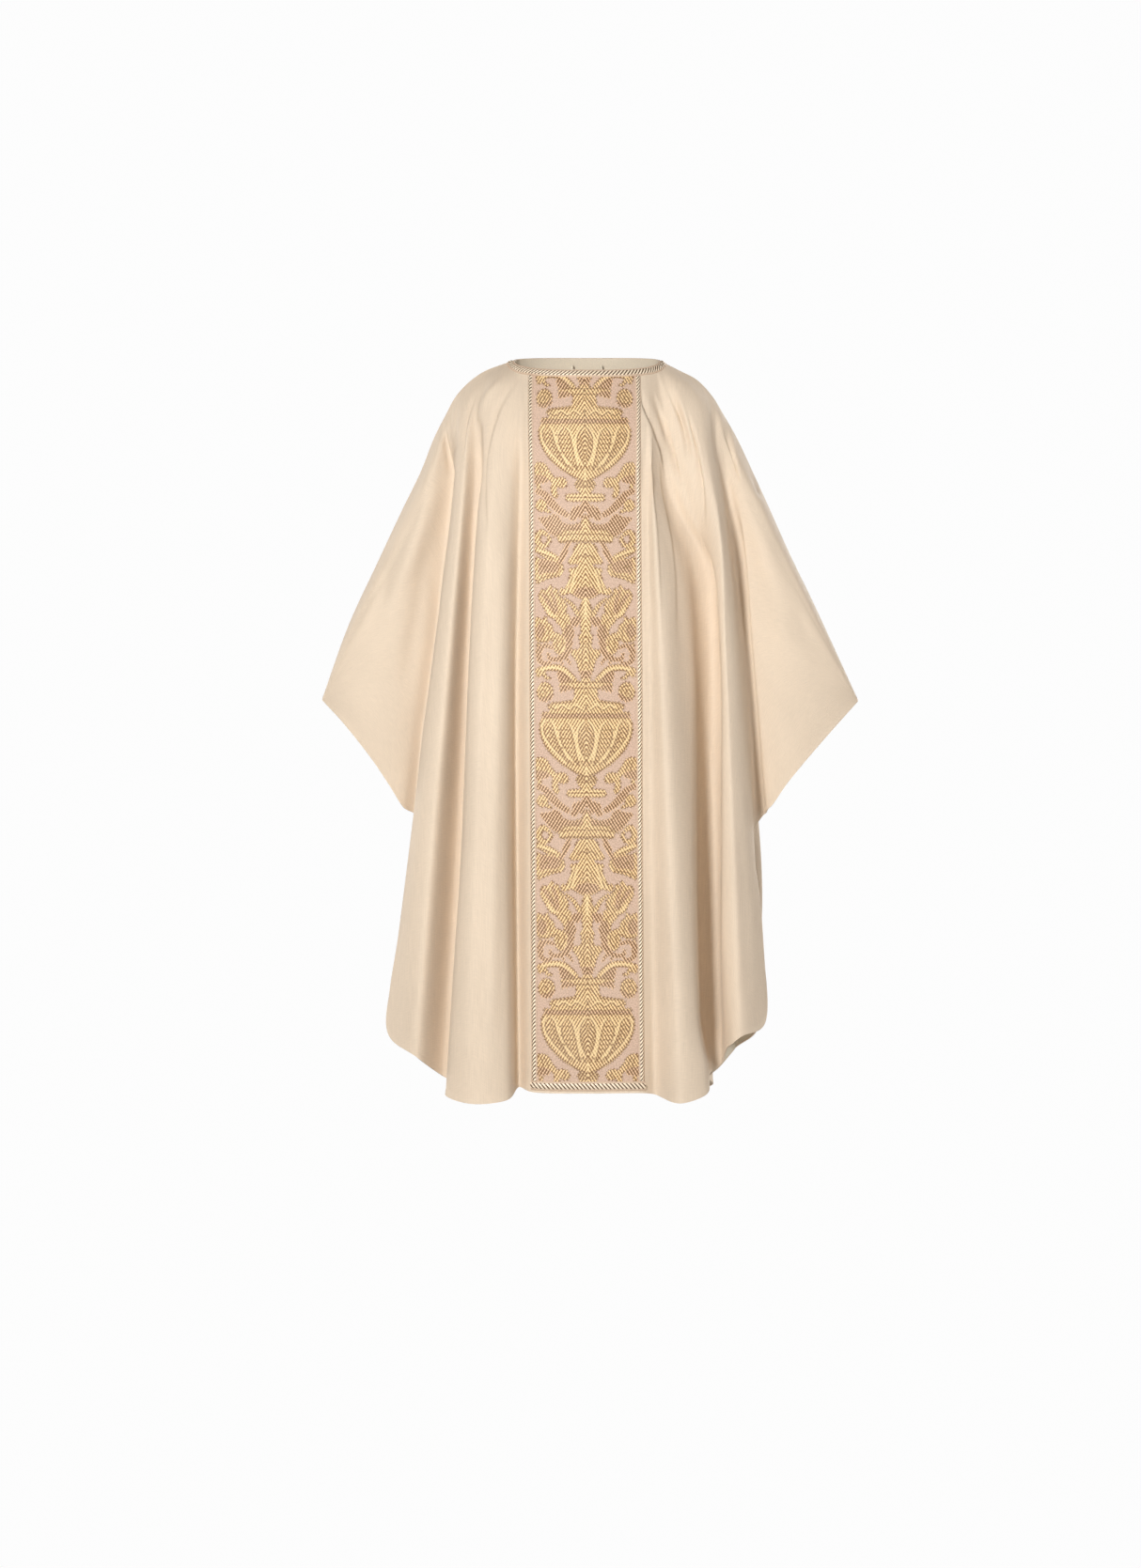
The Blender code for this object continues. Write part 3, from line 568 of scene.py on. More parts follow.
# Drawings, one shape an entry, in drawing units: across from the middle and down from the
# origin of the group, which is given in metres.
#   area colour: outline            sharp colour: outline whose corners aren't cut
#   stroke colour width(s): line    with one width, or its widths at start, middle and end
#   oval colour rx ry tilt: centres
#   beads colour rx ry: first centre, then pitch across and count
# gold and brown are figures, line and light thin dark and light threads on them.
CROWN = -0.0065, """
oval brown 40 75 0.35: 75 45
oval brown 34 66 0.1: 140 60
area gold: -40 60, 0 60, 38 150, 60 210, -40 210
area gold: -60 180, 70 190, 180 225, 330 175, 420 200, 430 330, 345 345, 335 430, 200 420,
    -60 420
area brown: 600 120, 560 165, 500 245, 430 335, 345 330, 300 255, 320 120, 400 62, 470 110,
    540 110
area brown: 60 195, 120 228, 200 225, 310 170, 330 260, 240 268, 120 268, 60 262
stroke line 13: 0 415, 150 412, 330 424
stroke line 9: 0 330, 180 325, 330 345
stroke line 9: 70 262, 220 268, 340 330, 410 372
beads line 10 10: 45 372, 62 5
beads light 13 10: 76 372, 62 5
stroke brown 52 58 40: 220 440, 270 560, 320 680
stroke gold 40 66 34: 505 318, 560 296, 604 340, 600 430, 548 478, 490 462
stroke gold 18 34 16: 470 350, 455 400, 492 450
stroke line 10: 560 330, 578 390, 545 440
stroke gold 58 80 52: 612 520, 530 562, 440 600, 350 646
stroke line 9: 600 560, 500 592, 400 640
stroke light 13: 600 528, 500 566, 390 612
area gold: 640 610, 560 650, 470 640, 380 650, 300 700, 284 790, 316 850, 420 868, 520 900,
    640 960
area brown: 590 650, 500 668, 400 672, 340 720, 350 790, 440 812, 520 800, 590 840
oval gold 64 44 0.2: 520 738
oval line 26 20 0.2: 520 738
stroke line 9: 330 700, 312 780, 380 846, 500 862, 620 920
stroke light 13: 316 720, 302 790, 340 832
area gold: -60 440, 85 445, 135 500, 160 600, 210 645, 205 700, 150 700, 100 690, 80 730,
    150 770, 210 762, 195 812, 150 840, -60 840
stroke line 12: 0 620, 60 600, 120 640
oval line 12 26: 0 590
oval line 14 9: 45 690
"""
TULIPS = 0.1013, """
area gold: -60 -60, 160 -40, 205 110, 262 250, 310 215, 330 262, 300 305, 235 285, 190 270,
    110 320, 40 350, -60 350
stroke light 20: 165 0, 205 130, 250 262
stroke light 18: 125 0, 160 130, 196 262
stroke line 8: 145 0, 183 130, 224 265
oval brown 128 56: 0 268
oval line 12 15: 0 40, 0 110, 0 180, 55 75, 55 145, 95 110, 100 190, 50 215
oval light 13 10: 0 268, 52 262, 95 250, 30 300
area gold: -60 345, 30 345, 62 470, 100 560, 70 640, 48 760, 56 850, -60 850
stroke gold 56 34 12: 60 610, 120 510, 170 430, 262 352
stroke line 8: 42 430, 80 520, 62 600
stroke light 22: 0 360, 0 480, 0 600
area gold: 590 300, 548 232, 512 262, 436 168, 428 262, 370 212, 352 300, 300 350, 246 430,
    248 506, 300 566, 392 602, 472 566, 520 470, 580 370
stroke brown 20 30 16: 540 300, 480 380, 420 470, 390 520
stroke brown 14 24 14: 440 260, 400 350, 380 440, 370 500
stroke line 8: 370 270, 310 380, 290 470, 350 560
stroke line 8: 500 280, 440 400, 395 560
stroke light 14: 340 330, 290 420, 300 500
stroke light 18: 500 470, 440 550, 380 570
area gold: 362 556, 222 540, 196 640, 176 720, 206 862, 276 850, 296 710, 384 632
stroke line 9: 330 590, 262 640, 236 740, 240 840
area brown: 60 610, 100 588, 180 590, 190 660, 150 700, 90 690
area brown: 170 700, 240 690, 265 780, 262 860, 150 860
area gold: 640 590, 585 596, 552 640, 500 572, 494 650, 432 690, 420 770, 380 800, 400 862,
    470 880, 640 900
oval brown 52 78: 575 760
stroke line 9: 520 660, 470 740, 470 830
stroke line 9: 590 640, 530 760, 560 860
"""
STEM = 0.2092, """
area gold: -60 -10, 86 0, 62 120, 72 205, 190 212, 178 262, 120 330, 98 400, 78 470, 66 520,
    -60 520
area brown: -40 478, 72 478, 60 552, -40 560
area gold: -40 545, 48 545, 58 612, -40 612
oval line 11 14: 0 50, 0 130, 0 215, 0 300, 0 380
stroke line 8: 40 40, 34 160, 50 300, 40 440
stroke line 8: 100 250, 80 330
oval line 15 15: 0 515
stroke brown 84 62 26: 190 -20, 212 110, 226 210, 290 290, 390 326, 466 300, 470 262
stroke brown 30 26 14: 290 300, 230 330, 196 388
stroke brown 26 20 10: 330 310, 300 380, 292 400
oval gold 92 122 0.25: 318 140
stroke light 14: 262 60, 250 140, 290 230
stroke line 9: 300 60, 290 140, 330 220
stroke gold 44 56 40: 608 40, 520 76, 440 40, 370 20, 300 60
stroke line 9: 610 84, 520 100, 440 62, 370 60
stroke line 9: 355 80, 372 150, 330 230
stroke brown 26 64 28: 430 176, 510 148, 578 186, 596 270, 580 345, 515 380, 462 360
stroke gold 20 30 16: 598 140, 612 230, 606 330
stroke gold 20 26 14: 500 158, 570 160, 612 230
stroke gold 52 62 30: 612 470, 500 432, 392 428, 290 452, 210 516, 150 580, 118 652
stroke gold 40 26 12: 600 520, 540 500, 500 560, 462 562
stroke light 18: 560 456, 450 432, 340 440, 250 490, 180 560
stroke line 9: 520 470, 420 462, 330 480, 250 540, 190 610
area brown: 360 478, 300 486, 230 540, 170 612, 330 620, 350 550
area gold: -60 610, 300 612, 338 640, 300 706, 170 690, -60 692
area brown: 165 680, 330 650, 326 752, 292 706, 262 736, 230 704, 196 722
stroke line 10: 0 692, 160 690
stroke line 8: 0 616, 300 616
oval line 17 17: 0 652
beads line 10 10: 55 652, 54 4
beads light 11 14: 28 652, 54 4
oval gold 96 112: 520 738
stroke line 11: 560 660, 480 670, 450 740, 490 800, 560 800, 580 740, 530 710, 505 745,
    530 765
stroke brown 22 34 22: 440 790, 500 838, 580 832
"""
URN = 0.3007, """
area gold: -60 -6, 150 -6, 136 60, 146 150, 168 178, 310 196, 440 208, 486 246, 448 290,
    470 330, -60 330
stroke line 9: 150 186, 300 205, 430 216, 470 246
stroke line 9: 60 300, 140 250, 220 300, 300 250, 380 296, 440 262
stroke light 12: 60 276, 140 226, 220 276, 300 226, 380 268
oval line 18 26: 0 250
stroke line 7: 110 160, 50 90, 0 60
sharp gold: -60 322, 540 328, 556 400, 585 480, 584 560, 560 650, 506 765, 405 890, 300 982,
    200 1046, 104 1100, 50 1126, -60 1126
stroke brown 30: 0 367, 540 367
stroke line 9: 584 500, 576 590, 506 760, 405 886, 300 978, 200 1042, 100 1098, 40 1120
stroke light 16: 0 1010, 0 1110
area gold: -60 1118, 70 1120, 104 1140, 128 1176, 98 1208, 62 1216, 86 1240, 64 1262,
    -60 1262
stroke line 9: 0 1136, 80 1140, 118 1176, 90 1206, 0 1212
stroke line 7: 26 1142, 26 1204
stroke line 7: 60 1142, 60 1204
oval light 12 26: 0 1172
area gold: 640 905, 560 900, 500 930, 470 1000, 420 1060, 392 1110, 330 1092, 262 1106,
    232 1170, 262 1216, 330 1212, 372 1180, 366 1262, 420 1262, 420 1130, 500 1092, 640 1080
area brown: 640 1060, 520 1082, 470 1130, 530 1160, 600 1156, 640 1180
stroke gold 30: 600 1160, 592 1262
stroke line 9: 560 940, 520 1000, 500 1070
stroke line 9: 600 930, 570 1010, 560 1070
stroke line 8: 300 1120, 290 1170, 330 1200
"""
# spire under the urn's foot, bar, leaves and small flowers; the next crown follows
LINK = 0.4625, """
area gold: -60 -60, 60 -60, 118 -20, 104 40, 62 80, 38 160, -60 160
stroke line 8: 0 0, 52 -34, 100 -10
area gold: -60 112, 232 112, 246 150, 230 196, -60 196
stroke line 9: 0 152, 236 152
beads light 10 9: 24 132, 28 8
beads light 10 9: 24 174, 28 8
area brown: -40 200, 40 206, 75 280, 130 278, 186 360, 200 430, 150 446, 112 400, 70 360,
    30 330, -40 330
stroke brown 54 92 56: 602 70, 520 110, 440 210, 350 300, 240 372
oval gold 66 70: 560 250
oval line 18 18: 556 262
stroke gold 22: 460 330, 540 300
area gold: 392 0, 430 10, 420 120, 372 160, 352 120, 380 60
stroke gold 28: 592 -10, 600 90
stroke light 12: 600 100, 530 130, 470 200
"""
# Lobes of the urn's bowl: filling, centre line, half widths along it
LOBES = (
    ("chevron", ((0, 440), (0, 480), (0, 560), (0, 680), (0, 800), (0, 930)),
     (8, 52, 90, 96, 72, 12)),
    ("dots", ((262, 462), (262, 500), (258, 580), (235, 700), (190, 820), (110, 970)),
     (12, 48, 72, 76, 54, 10)),
    ("chevron", ((480, 440), (482, 480), (468, 580), (410, 710), (330, 830), (226, 962)),
     (14, 50, 64, 52, 34, 8)),
)


class Motif:
    """Distances in metres to the shapes of each colour, negative inside, on a grid."""
    MARGIN = 0.004       # how far around a shape distances are worked out

    def __init__(self):
        self.columns, self.rows = int(HALF_W / CELL) + 2, int(REPEAT / CELL) + 1
        self.x, self.y = np.meshgrid(np.arange(self.columns) * CELL,
                                     np.arange(self.rows) * CELL)
        self.fields = {colour: np.full(self.x.shape, 0.05)
                       for colour in ("gold", "brown", "line", "light")}
        self.origin = (0, 0.0)

    def put(self, colour, points, distance, pad=MARGIN):
        """Adds a shape around points, and its copies one repeat up and down."""
        low, high = points.min(0) - pad, points.max(0) + pad
        for shift in (-REPEAT, 0.0, REPEAT):
            top = max(0, int((low[1] + shift) / CELL))
            bottom = min(self.rows, int((high[1] + shift) / CELL) + 2)
            inner = max(0, int(low[0] / CELL))
            outer = min(self.columns, int(high[0] / CELL) + 2)
            if bottom > top and outer > inner:
                part = slice(top, bottom), slice(inner, outer)
                found = distance(self.x[part], self.y[part] - shift)
                field = self.fields[colour]
                field[part] = np.minimum(field[part], found)

    def area(self, colour, outline, cut_corners=True):
        points = np.array(outline, float) * UNIT + self.origin
        if cut_corners:
            near, far = 1 - CORNER_CUT, CORNER_CUT
            ahead = np.roll(points, -1, 0)
            points = np.stack([points * near + ahead * far, points * far + ahead * near], 1)
            points = points.reshape(-1, 2)
            # beside the middle, the outline is moved across it
            points[:, 0] = np.where(abs(points[:, 0]) < 0.0012, -0.001, points[:, 0])

        def distance(x, y):
            best = np.full(x.shape, 1.0)
            inside = np.zeros(x.shape, bool)
            for start, end in zip(points, np.roll(points, -1, 0)):
                step = end - start
                _, off_x, off_y = to_segment(x, y, start, step)
                best = np.minimum(best, off_x ** 2 + off_y ** 2)
                if start[1] != end[1]:
                    crossing = step[0] * (y - start[1]) / step[1] + start[0]
                    inside ^= ((start[1] > y) != (end[1] > y)) & (x < crossing)
            best = np.sqrt(best)
            return np.where(inside, -best, best)
        self.put(colour, points, distance)

    def stroke(self, colour, line, *widths):
        widths = np.broadcast_to(widths, 1 if len(widths) == 1 else 3)
        widths = widths if len(widths) == 3 else np.repeat(widths, 3)
        if colour in ("line", "light"):                 # as wide as two threads
            widths = 5 + 1.15 * widths
        line = np.array(line, float) * UNIT + self.origin
        at = run(line)
        count = max(8, int(at[-1] / 0.0012))
        shares = np.linspace(0, 1, count + 1)
        points = resample(line, at / at[-1], shares)
        radius = np.interp(shares, (0, 0.5, 1), widths) * UNIT * 0.5

        def distance(x, y):
            best = np.full(x.shape, 1.0)
            for k in range(count):
                share, off_x, off_y = to_segment(x, y, points[k], points[k + 1] - points[k])
                thick = radius[k] + (radius[k + 1] - radius[k]) * share
                best = np.minimum(best, np.hypot(off_x, off_y) - thick)
            return best
        self.put(colour, points, distance, self.MARGIN + radius.max())

    def oval(self, colour, centre, width, height, tilt=0.0):
        """An ellipse of half width and half height, tilted by an angle in radians."""
        centre = np.array(centre, float) * UNIT + self.origin
        width, height = width * UNIT, height * UNIT
        cos, sin = math.cos(tilt), math.sin(tilt)

        def distance(x, y):
            x, y = x - centre[0], y - centre[1]
            along_width, along_height = x * cos + y * sin, -x * sin + y * cos
            reach = np.hypot(along_width / width, along_height / height)
            return (reach - 1) * min(width, height)
        reach = max(width, height)
        self.put(colour, np.array([centre - reach, centre + reach]), distance)

    def draw(self, origin, drawing):
        """Draws a group from its table."""
        self.origin = (0, origin)
        for entry in drawing.strip().replace("\n    ", " ").splitlines():
            head, body = entry.split(":")
            kind, colour, *sizes = head.split()
            sizes = [float(size) for size in sizes]
            pairs = [tuple(map(float, pair.split())) for pair in body.split(",")]
            if kind in ("area", "sharp"):
                self.area(colour, pairs, cut_corners=kind == "area")
            elif kind == "stroke":
                self.stroke(colour, pairs, *sizes)
            else:
                if kind == "beads":
                    (x, y), (pitch, count) = pairs
                    pairs = [(x + pitch * k, y) for k in range(int(count))]
                for centre in pairs:
                    self.oval(colour, centre, *sizes)

    def lobe(self, filling, centre, widths):
        """A lobe of the bowl: dark outline, light outline around it, and its filling."""
        centre, widths = np.array(centre, float), np.array(widths, float)
        for colour, away, thick in (("line", 0, 8), ("light", 21, 19)):
            offset = np.outer(widths + away, (1, 0))
            self.stroke(colour, centre + offset, thick)
            self.stroke(colour, centre - offset, thick)
        for k in range(1, 8):
            y = centre[0, 1] + (centre[-1, 1] - centre[0, 1]) * (0.05 + 0.9 * (k / 8.0))
            x = np.interp(y, centre[:, 1], centre[:, 0])
            room = np.interp(y, centre[:, 1], widths) - 12
            if room < 12:
                continue
            if filling == "chevron":
                foot = y + room * 0.62
                self.stroke("line", [(x - room, foot), (x, y - 8), (x + room, foot)], 12)
            else:
                count = int(room // 24)
                stagger = 19 if k % 2 and count else 0
                for i in range(-count, count + 1):
                    self.oval("line", (x + i * 38 + stagger, y), 13, 13)

    def sample(self, x, y):
        """Values at points (metres across from the middle, metres down)."""
        column = np.clip(abs(x) / CELL, 0, self.columns - 1.001)
        row = np.clip((y % REPEAT) / CELL, 0, self.rows - 1.001)
        i, j = row.astype(int), column.astype(int)
        down, side = row - i, column - j
        return {colour: ((a[i, j] * (1 - side) + a[i, j + 1] * side) * (1 - down)
                         + (a[i + 1, j] * (1 - side) + a[i + 1, j + 1] * side) * down)
                for colour, a in self.fields.items()}


def draw_motif():
    motif = Motif()
    for group in (CROWN, TULIPS, STEM, LINK, URN):
        motif.draw(*group)
    # the rest belongs to the urn: two wavy rows of beads, the lobes, small peaks under them
    for y in (342, 392):
        for k in range(22):
            motif.oval("line", (6 + 25 * k, y + 3 * math.sin(k)), 8, 11)
    for lobe in LOBES:
        motif.lobe(*lobe)
    for x in (0, 70, 140, 215):
        y = 960 - x * 0.05
        motif.stroke("line", [(x - 34, y + 46), (x, y - 20), (x + 34, y + 40)], 8)
    return motif


# ------------------------------------------------------------------ materials
class Nodes:
    """One material under construction.  Values are sockets, numbers or RGB."""

    def __init__(self, name):
        self.mat = bpy.data.materials.new(name)
        self.mat.use_nodes = True
        self.tree = self.mat.node_tree
        self.tree.nodes.clear()
        self.out = self.tree.nodes.new("ShaderNodeOutputMaterial")

    def put(self, node, key, value):
        socket = node.inputs[key]
        if isinstance(value, bpy.types.NodeSocket):
            self.tree.links.new(value, socket)
        elif isinstance(value, tuple) and socket.type == "RGBA":
            socket.default_value = (*value, 1.0)
        else:
            socket.default_value = value

    def new(self, kind, **inputs):
        """A node; underscores in input names stand for spaces."""
        node = self.tree.nodes.new(kind)
        for key, value in inputs.items():
            self.put(node, key.replace("_", " "), value)
        return node

    def math(self, operation, *values):
        node = self.new("ShaderNodeMath")
        node.operation = operation
        for k, value in enumerate(values):
            self.put(node, k, value)
        return node.outputs[0]

    def times(self, first, second):
        return self.math("MULTIPLY", first, second)

    def add(self, total, *terms):
        for term in terms:
            total = self.math("ADD", total, term)
        return total

    def weighted(self, *terms):
        """Sum of (value, weight) pairs."""
        return self.add(*(self.times(value, weight) for value, weight in terms))

    def mix(self, share, first, second, blend="MIX"):
        node = self.new("ShaderNodeMix")
        node.data_type = "RGBA"
        node.blend_type = blend
        for key, value in ((0, share), (6, first), (7, second)):
            self.put(node, key, value)
        return node.outputs[2]

    def mix_shaders(self, share, first, second):
        node = self.new("ShaderNodeMixShader", Fac=share)
        self.put(node, 1, first)
        self.put(node, 2, second)
        return node.outputs[0]

    def ramp(self, value, between, to=(0.0, 1.0)):
        """Smooth step from to[0] to to[1] as value crosses the range between."""
        node = self.new("ShaderNodeMapRange")
        node.interpolation_type = "SMOOTHSTEP"
        for k, number in enumerate((value, *between, *to)):
            self.put(node, k, number)
        return node.outputs[0]

    def uv(self):
        """Reads the cloth coordinates; returns metres across and down."""
        node = self.new("ShaderNodeUVMap")
        node.uv_map = "Cloth"
        self.vector = node.outputs[0]
        parts = self.new("ShaderNodeSeparateXYZ")
        self.put(parts, 0, self.vector)
        return parts.outputs[0], parts.outputs[1]

    def noise(self, scale, detail=2.0, rough=0.5):
        """Noise on the cloth; a pair of scales stretches it."""
        vector = self.vector
        if isinstance(scale, tuple):
            node = self.new("ShaderNodeVectorMath")
            node.operation = "MULTIPLY"
            self.put(node, 0, vector)
            node.inputs[1].default_value = (*scale, 1.0)
            vector, scale = node.outputs[0], 1.0
        return self.new("ShaderNodeTexNoise", Scale=scale, Detail=detail, Roughness=rough,
                        Vector=vector).outputs[0]

    def attr(self, name):
        node = self.new("ShaderNodeAttribute")
        node.attribute_name = name
        return node.outputs["Fac"]

    def wave(self, value, pitch):
        """0..1 wave of a length value in metres."""
        sine = self.math("SINE", self.times(value, 2 * math.pi / pitch))
        return self.math("MULTIPLY_ADD", sine, 0.5, 0.5)

    def shaded(self, tone, shade):
        """A tone made lighter or darker by a factor."""
        grey = self.new("ShaderNodeCombineColor", Red=shade, Green=shade, Blue=shade)
        return self.mix(1.0, tone, grey.outputs[0], "MULTIPLY")

    def grained(self, grain, dark, light):
        return self.mix(self.ramp(grain, (0.3, 0.7)), dark, light)

    def bump(self, height, strength, distance):
        return self.new("ShaderNodeBump", Strength=strength, Distance=distance,
                        Height=height).outputs[0]

    def surface(self, color, rough, normal=None, metal=0.0, sheen=0.0, through=0.0, spec=0.3,
                tint=(1.0, 0.95, 0.88)):
        """Ends the material; through: share of light shining through the cloth."""
        relief = {} if normal is None else {"Normal": normal}
        glow = {}
        if sheen:
            glow = {"Sheen_Weight": sheen, "Sheen_Roughness": 0.45, "Sheen_Tint": tint}
        shader = self.new("ShaderNodeBsdfPrincipled", Base_Color=color, Roughness=rough,
                          Metallic=metal, Specular_IOR_Level=spec, **glow, **relief).outputs[0]
        if through:
            back = self.new("ShaderNodeBsdfTranslucent", Color=color, **relief)
            shader = self.mix_shaders(through, shader, back.outputs[0])
        self.put(self.out, 0, shader)
        return self.mat


def wool_material():
    n = Nodes("cream_wool_twill")
    across, down = n.uv()
    slub = n.noise((900.0, 22.0), rough=0.6)              # long warp slubs
    pick = n.noise((60.0, 1100.0), detail=1.0)            # weft slubs
    cloud = n.noise(5.0)
    shade = n.add(n.ramp(slub, (0.25, 0.75), to=(-0.045, 0.045)),
                  n.ramp(pick, (0.3, 0.7), to=(-0.028, 0.028)),
                  n.ramp(cloud, (0.3, 0.7), to=(-0.02, 0.02)), 1.0)
    color = n.shaded((0.785, 0.650, 0.508), shade)
    twill = n.wave(n.weighted((across, 1.0), (down, 0.8)), pitch=0.0011)
    warp = n.wave(across, pitch=0.00055)
    height = n.weighted((twill, 0.6), (warp, 0.25), (slub, 0.9), (pick, 0.6))
    return n.surface(color, rough=n.ramp(slub, (0.2, 0.8), to=(0.86, 0.72)),
                     normal=n.bump(height, strength=0.22, distance=0.00022),
                     sheen=0.22, through=0.08, spec=0.22)


def brocade_material():
    n = Nodes("orphrey_brocade_weave")
    across, down = n.uv()
    away = n.math("ABSOLUTE", across)
    # gold threads lie in mirrored diagonals; short breaks across them
    diagonal = n.math("SUBTRACT", n.times(down, -1.0), n.times(away, 1.60))
    wander = n.noise((90.0, 90.0), detail=1.0)
    hatch = n.wave(n.add(diagonal, n.times(wander, 0.0016)), pitch=0.0089)
    cross = n.wave(n.weighted((down, -1.0), (away, 0.80)), pitch=0.0062)
    speck = n.ramp(n.noise((420.0, 420.0), rough=0.7), (0.30, 0.70))
    grain = n.noise((700.0, 700.0), rough=0.6)
    cloud = n.noise(14.0)
    weave = n.weighted((hatch, 0.62), (cross, 0.26), (speck, 0.34))
    # the woven edges are stepped: each thread ends a little before or after the drawn edge
    step = n.math("MULTIPLY_ADD", hatch, -0.0024, -0.0002)
    gold_distance = n.add(n.attr("gold"), step)
    brown_distance = n.add(n.attr("brown"), step)
    inside, thread, falling = (-0.0003, 0.0003), (-0.0003, 0.0006), (1.0, 0.0)
    gold = n.ramp(gold_distance, inside, falling)
    brown = n.ramp(brown_distance, inside, falling)
    line = n.ramp(n.attr("line"), thread, falling)
    light = n.ramp(n.attr("light"), thread, falling)
    edge = n.ramp(n.math("ABSOLUTE", n.add(gold_distance, 0.0004)), (0.0008, 0.0017), falling)
    # thread colours
    ground = n.mix(n.ramp(speck, (0.2, 0.8)), (0.520, 0.358, 0.276), (0.690, 0.498, 0.382))
    ground = n.mix(n.times(hatch, 0.10), ground, (0.44, 0.30, 0.22))
    bright = n.grained(grain, (0.830, 0.560, 0.275), (0.960, 0.740, 0.440))
    deep = n.grained(grain, (0.210, 0.098, 0.036), (0.330, 0.180, 0.075))
    umber = n.grained(grain, (0.150, 0.070, 0.030), (0.250, 0.128, 0.060))
    gold_color = n.mix(n.ramp(weave, (0.46, 0.70)), deep, bright)
    brown_color = n.mix(n.ramp(weave, (0.56, 0.82)), umber, (0.800, 0.550, 0.350))
    line_color = n.mix(n.ramp(weave, (0.60, 0.90), to=(0.0, 0.55)), umber, bright)
    light_color = n.mix(n.ramp(weave, (0.33, 0.58), to=(0.55, 0.0)),
                        (0.890, 0.655, 0.360), deep)
    # laid over one another, ground first
    color = n.mix(gold, ground, gold_color)
    color = n.mix(n.times(light, n.ramp(n.add(gold, brown), (0.0, 0.5))), color, light_color)
    color = n.mix(n.times(edge, n.ramp(cross, (0.35, 0.85), to=(0.95, 0.35))), color, umber)
    color = n.mix(brown, color, brown_color)
    color = n.mix(n.times(line, 0.85), color, line_color)
    color = n.mix(n.ramp(cloud, (0.3, 0.7), to=(0.0, 0.08)), color, (0.80, 0.66, 0.50))
    figure = n.math("MAXIMUM", gold, brown)
    height = n.weighted((n.times(weave, figure), 0.9), (grain, 0.35))
    height = n.math("SUBTRACT", height, n.times(line, 0.5))
    return n.surface(color, rough=n.ramp(figure, (0.0, 1.0), to=(0.70, 0.56)),
                     normal=n.bump(height, strength=0.30, distance=0.00025),
                     metal=n.times(figure, 0.08), sheen=0.06, spec=0.28,
                     tint=(1.0, 0.85, 0.65))


def braid_material():
    n = Nodes("galloon_twisted_cord")
    n.uv()
    cord = n.attr("cord")
    grain = n.noise((1500.0, 1500.0), detail=1.0)
    fray = n.noise((300.0, 300.0), rough=0.6)
    # strands of the twisted cord; the near-black in the hollows between them is painted shade
    turn = n.add(n.attr("twist"), n.times(fray, 0.10))
    strand_at = n.math("ABSOLUTE", n.math("SINE", n.times(turn, math.pi)))
    hollow_shade = n.ramp(strand_at, (0.50, 0.76), to=(1.0, 0.0))
    strand = n.grained(grain, (0.860, 0.690, 0.510), (1.000, 0.890, 0.720))
    # painted shade: near-black colour for the hollows between strands
    dark = n.grained(grain, (0.075, 0.036, 0.016), (0.150, 0.080, 0.038))
    flat = n.grained(grain, (0.560, 0.400, 0.285), (0.760, 0.590, 0.450))
    rib = n.wave(n.attr("along"), pitch=0.0034)
    flat = n.mix(n.times(rib, 0.35), flat, (0.42, 0.29, 0.19))
    color = n.mix(cord, flat, n.mix(hollow_shade, strand, dark))
    height = n.weighted((grain, 0.6), (rib, 0.35), (fray, 0.4))
    return n.surface(color, rough=n.ramp(cord, (0.0, 1.0), to=(0.66, 0.46)),
                     normal=n.bump(height, strength=0.3, distance=0.00025),
                     metal=n.times(cord, 0.10), sheen=0.05, spec=0.4)


def cotton_material(name, tone, pitch=0.0009, rough=0.85, twill=0.0):
    """Plain weave with threads a pitch apart; twill slants one set of them."""
    n = Nodes(name)
    across, down = n.uv()
    warp = n.wave(n.add(across, n.times(down, twill)), pitch)
    weft = n.wave(down, pitch * 1.1)
    grain = n.noise((420.0, 420.0), rough=0.6)
    shade = n.add(n.ramp(grain, (0.25, 0.75), to=(-0.05, 0.05)),
                  n.times(n.times(warp, weft), 0.06), 0.97)
    height = n.weighted((n.times(warp, weft), 0.7), (grain, 0.5))
    return n.surface(n.shaded(tone, shade),
                     rough=n.ramp(grain, (0.2, 0.8), to=(rough - 0.06, rough + 0.06)),
                     normal=n.bump(height, strength=0.35, distance=0.0002),
                     sheen=0.1, spec=0.25)


WOOL_MAT = wool_material()
BROCADE_MAT = brocade_material()
BRAID_MAT = braid_material()
FACING_MAT = cotton_material("facing_sateen", (0.78, 0.68, 0.54))
TAPE_MAT = cotton_material("bias_cotton_tape", (0.80, 0.72, 0.58), pitch=0.0008, twill=1.0)
INTER_MAT = cotton_material("woven_interfacing", (0.80, 0.78, 0.72), pitch=0.0012)
LABEL_MAT = cotton_material("satin_label", (0.84, 0.78, 0.66), pitch=0.0006, rough=0.42)


def finish(obj, mat, nodes, body="vestment_body", half=None):
    """Gives a piece its finish and hides what it replaces; a whole piece is hung on the body it
    follows, a half only has its placement baked in.
    """
    obj.data.materials.append(mat)
    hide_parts(*nodes)
    if half:
        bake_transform(obj)
    else:
        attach(obj, body)


def sheet(name, panel, lines, drops, high, low):
    """A sheet that follows the cloth, between two heights above its face."""
    points, normals, uv = panel.patch(lines, drops)
    return slab(name, points + normals * high, points + normals * low, uv)


def hem_lift(panel):
    """Turned hem: thicker band along the lower edge, with a groove of stitching in it."""
    from_edge = (1.0 - panel.drops)[:, None] * -panel.uv[-1, :, 1][None, :]
    hem = 0.0007 / (1 + np.exp((from_edge - 0.0088) / 0.0006))
    return hem - 0.00055 * np.exp(-((from_edge - 0.0070) / 0.0009) ** 2)


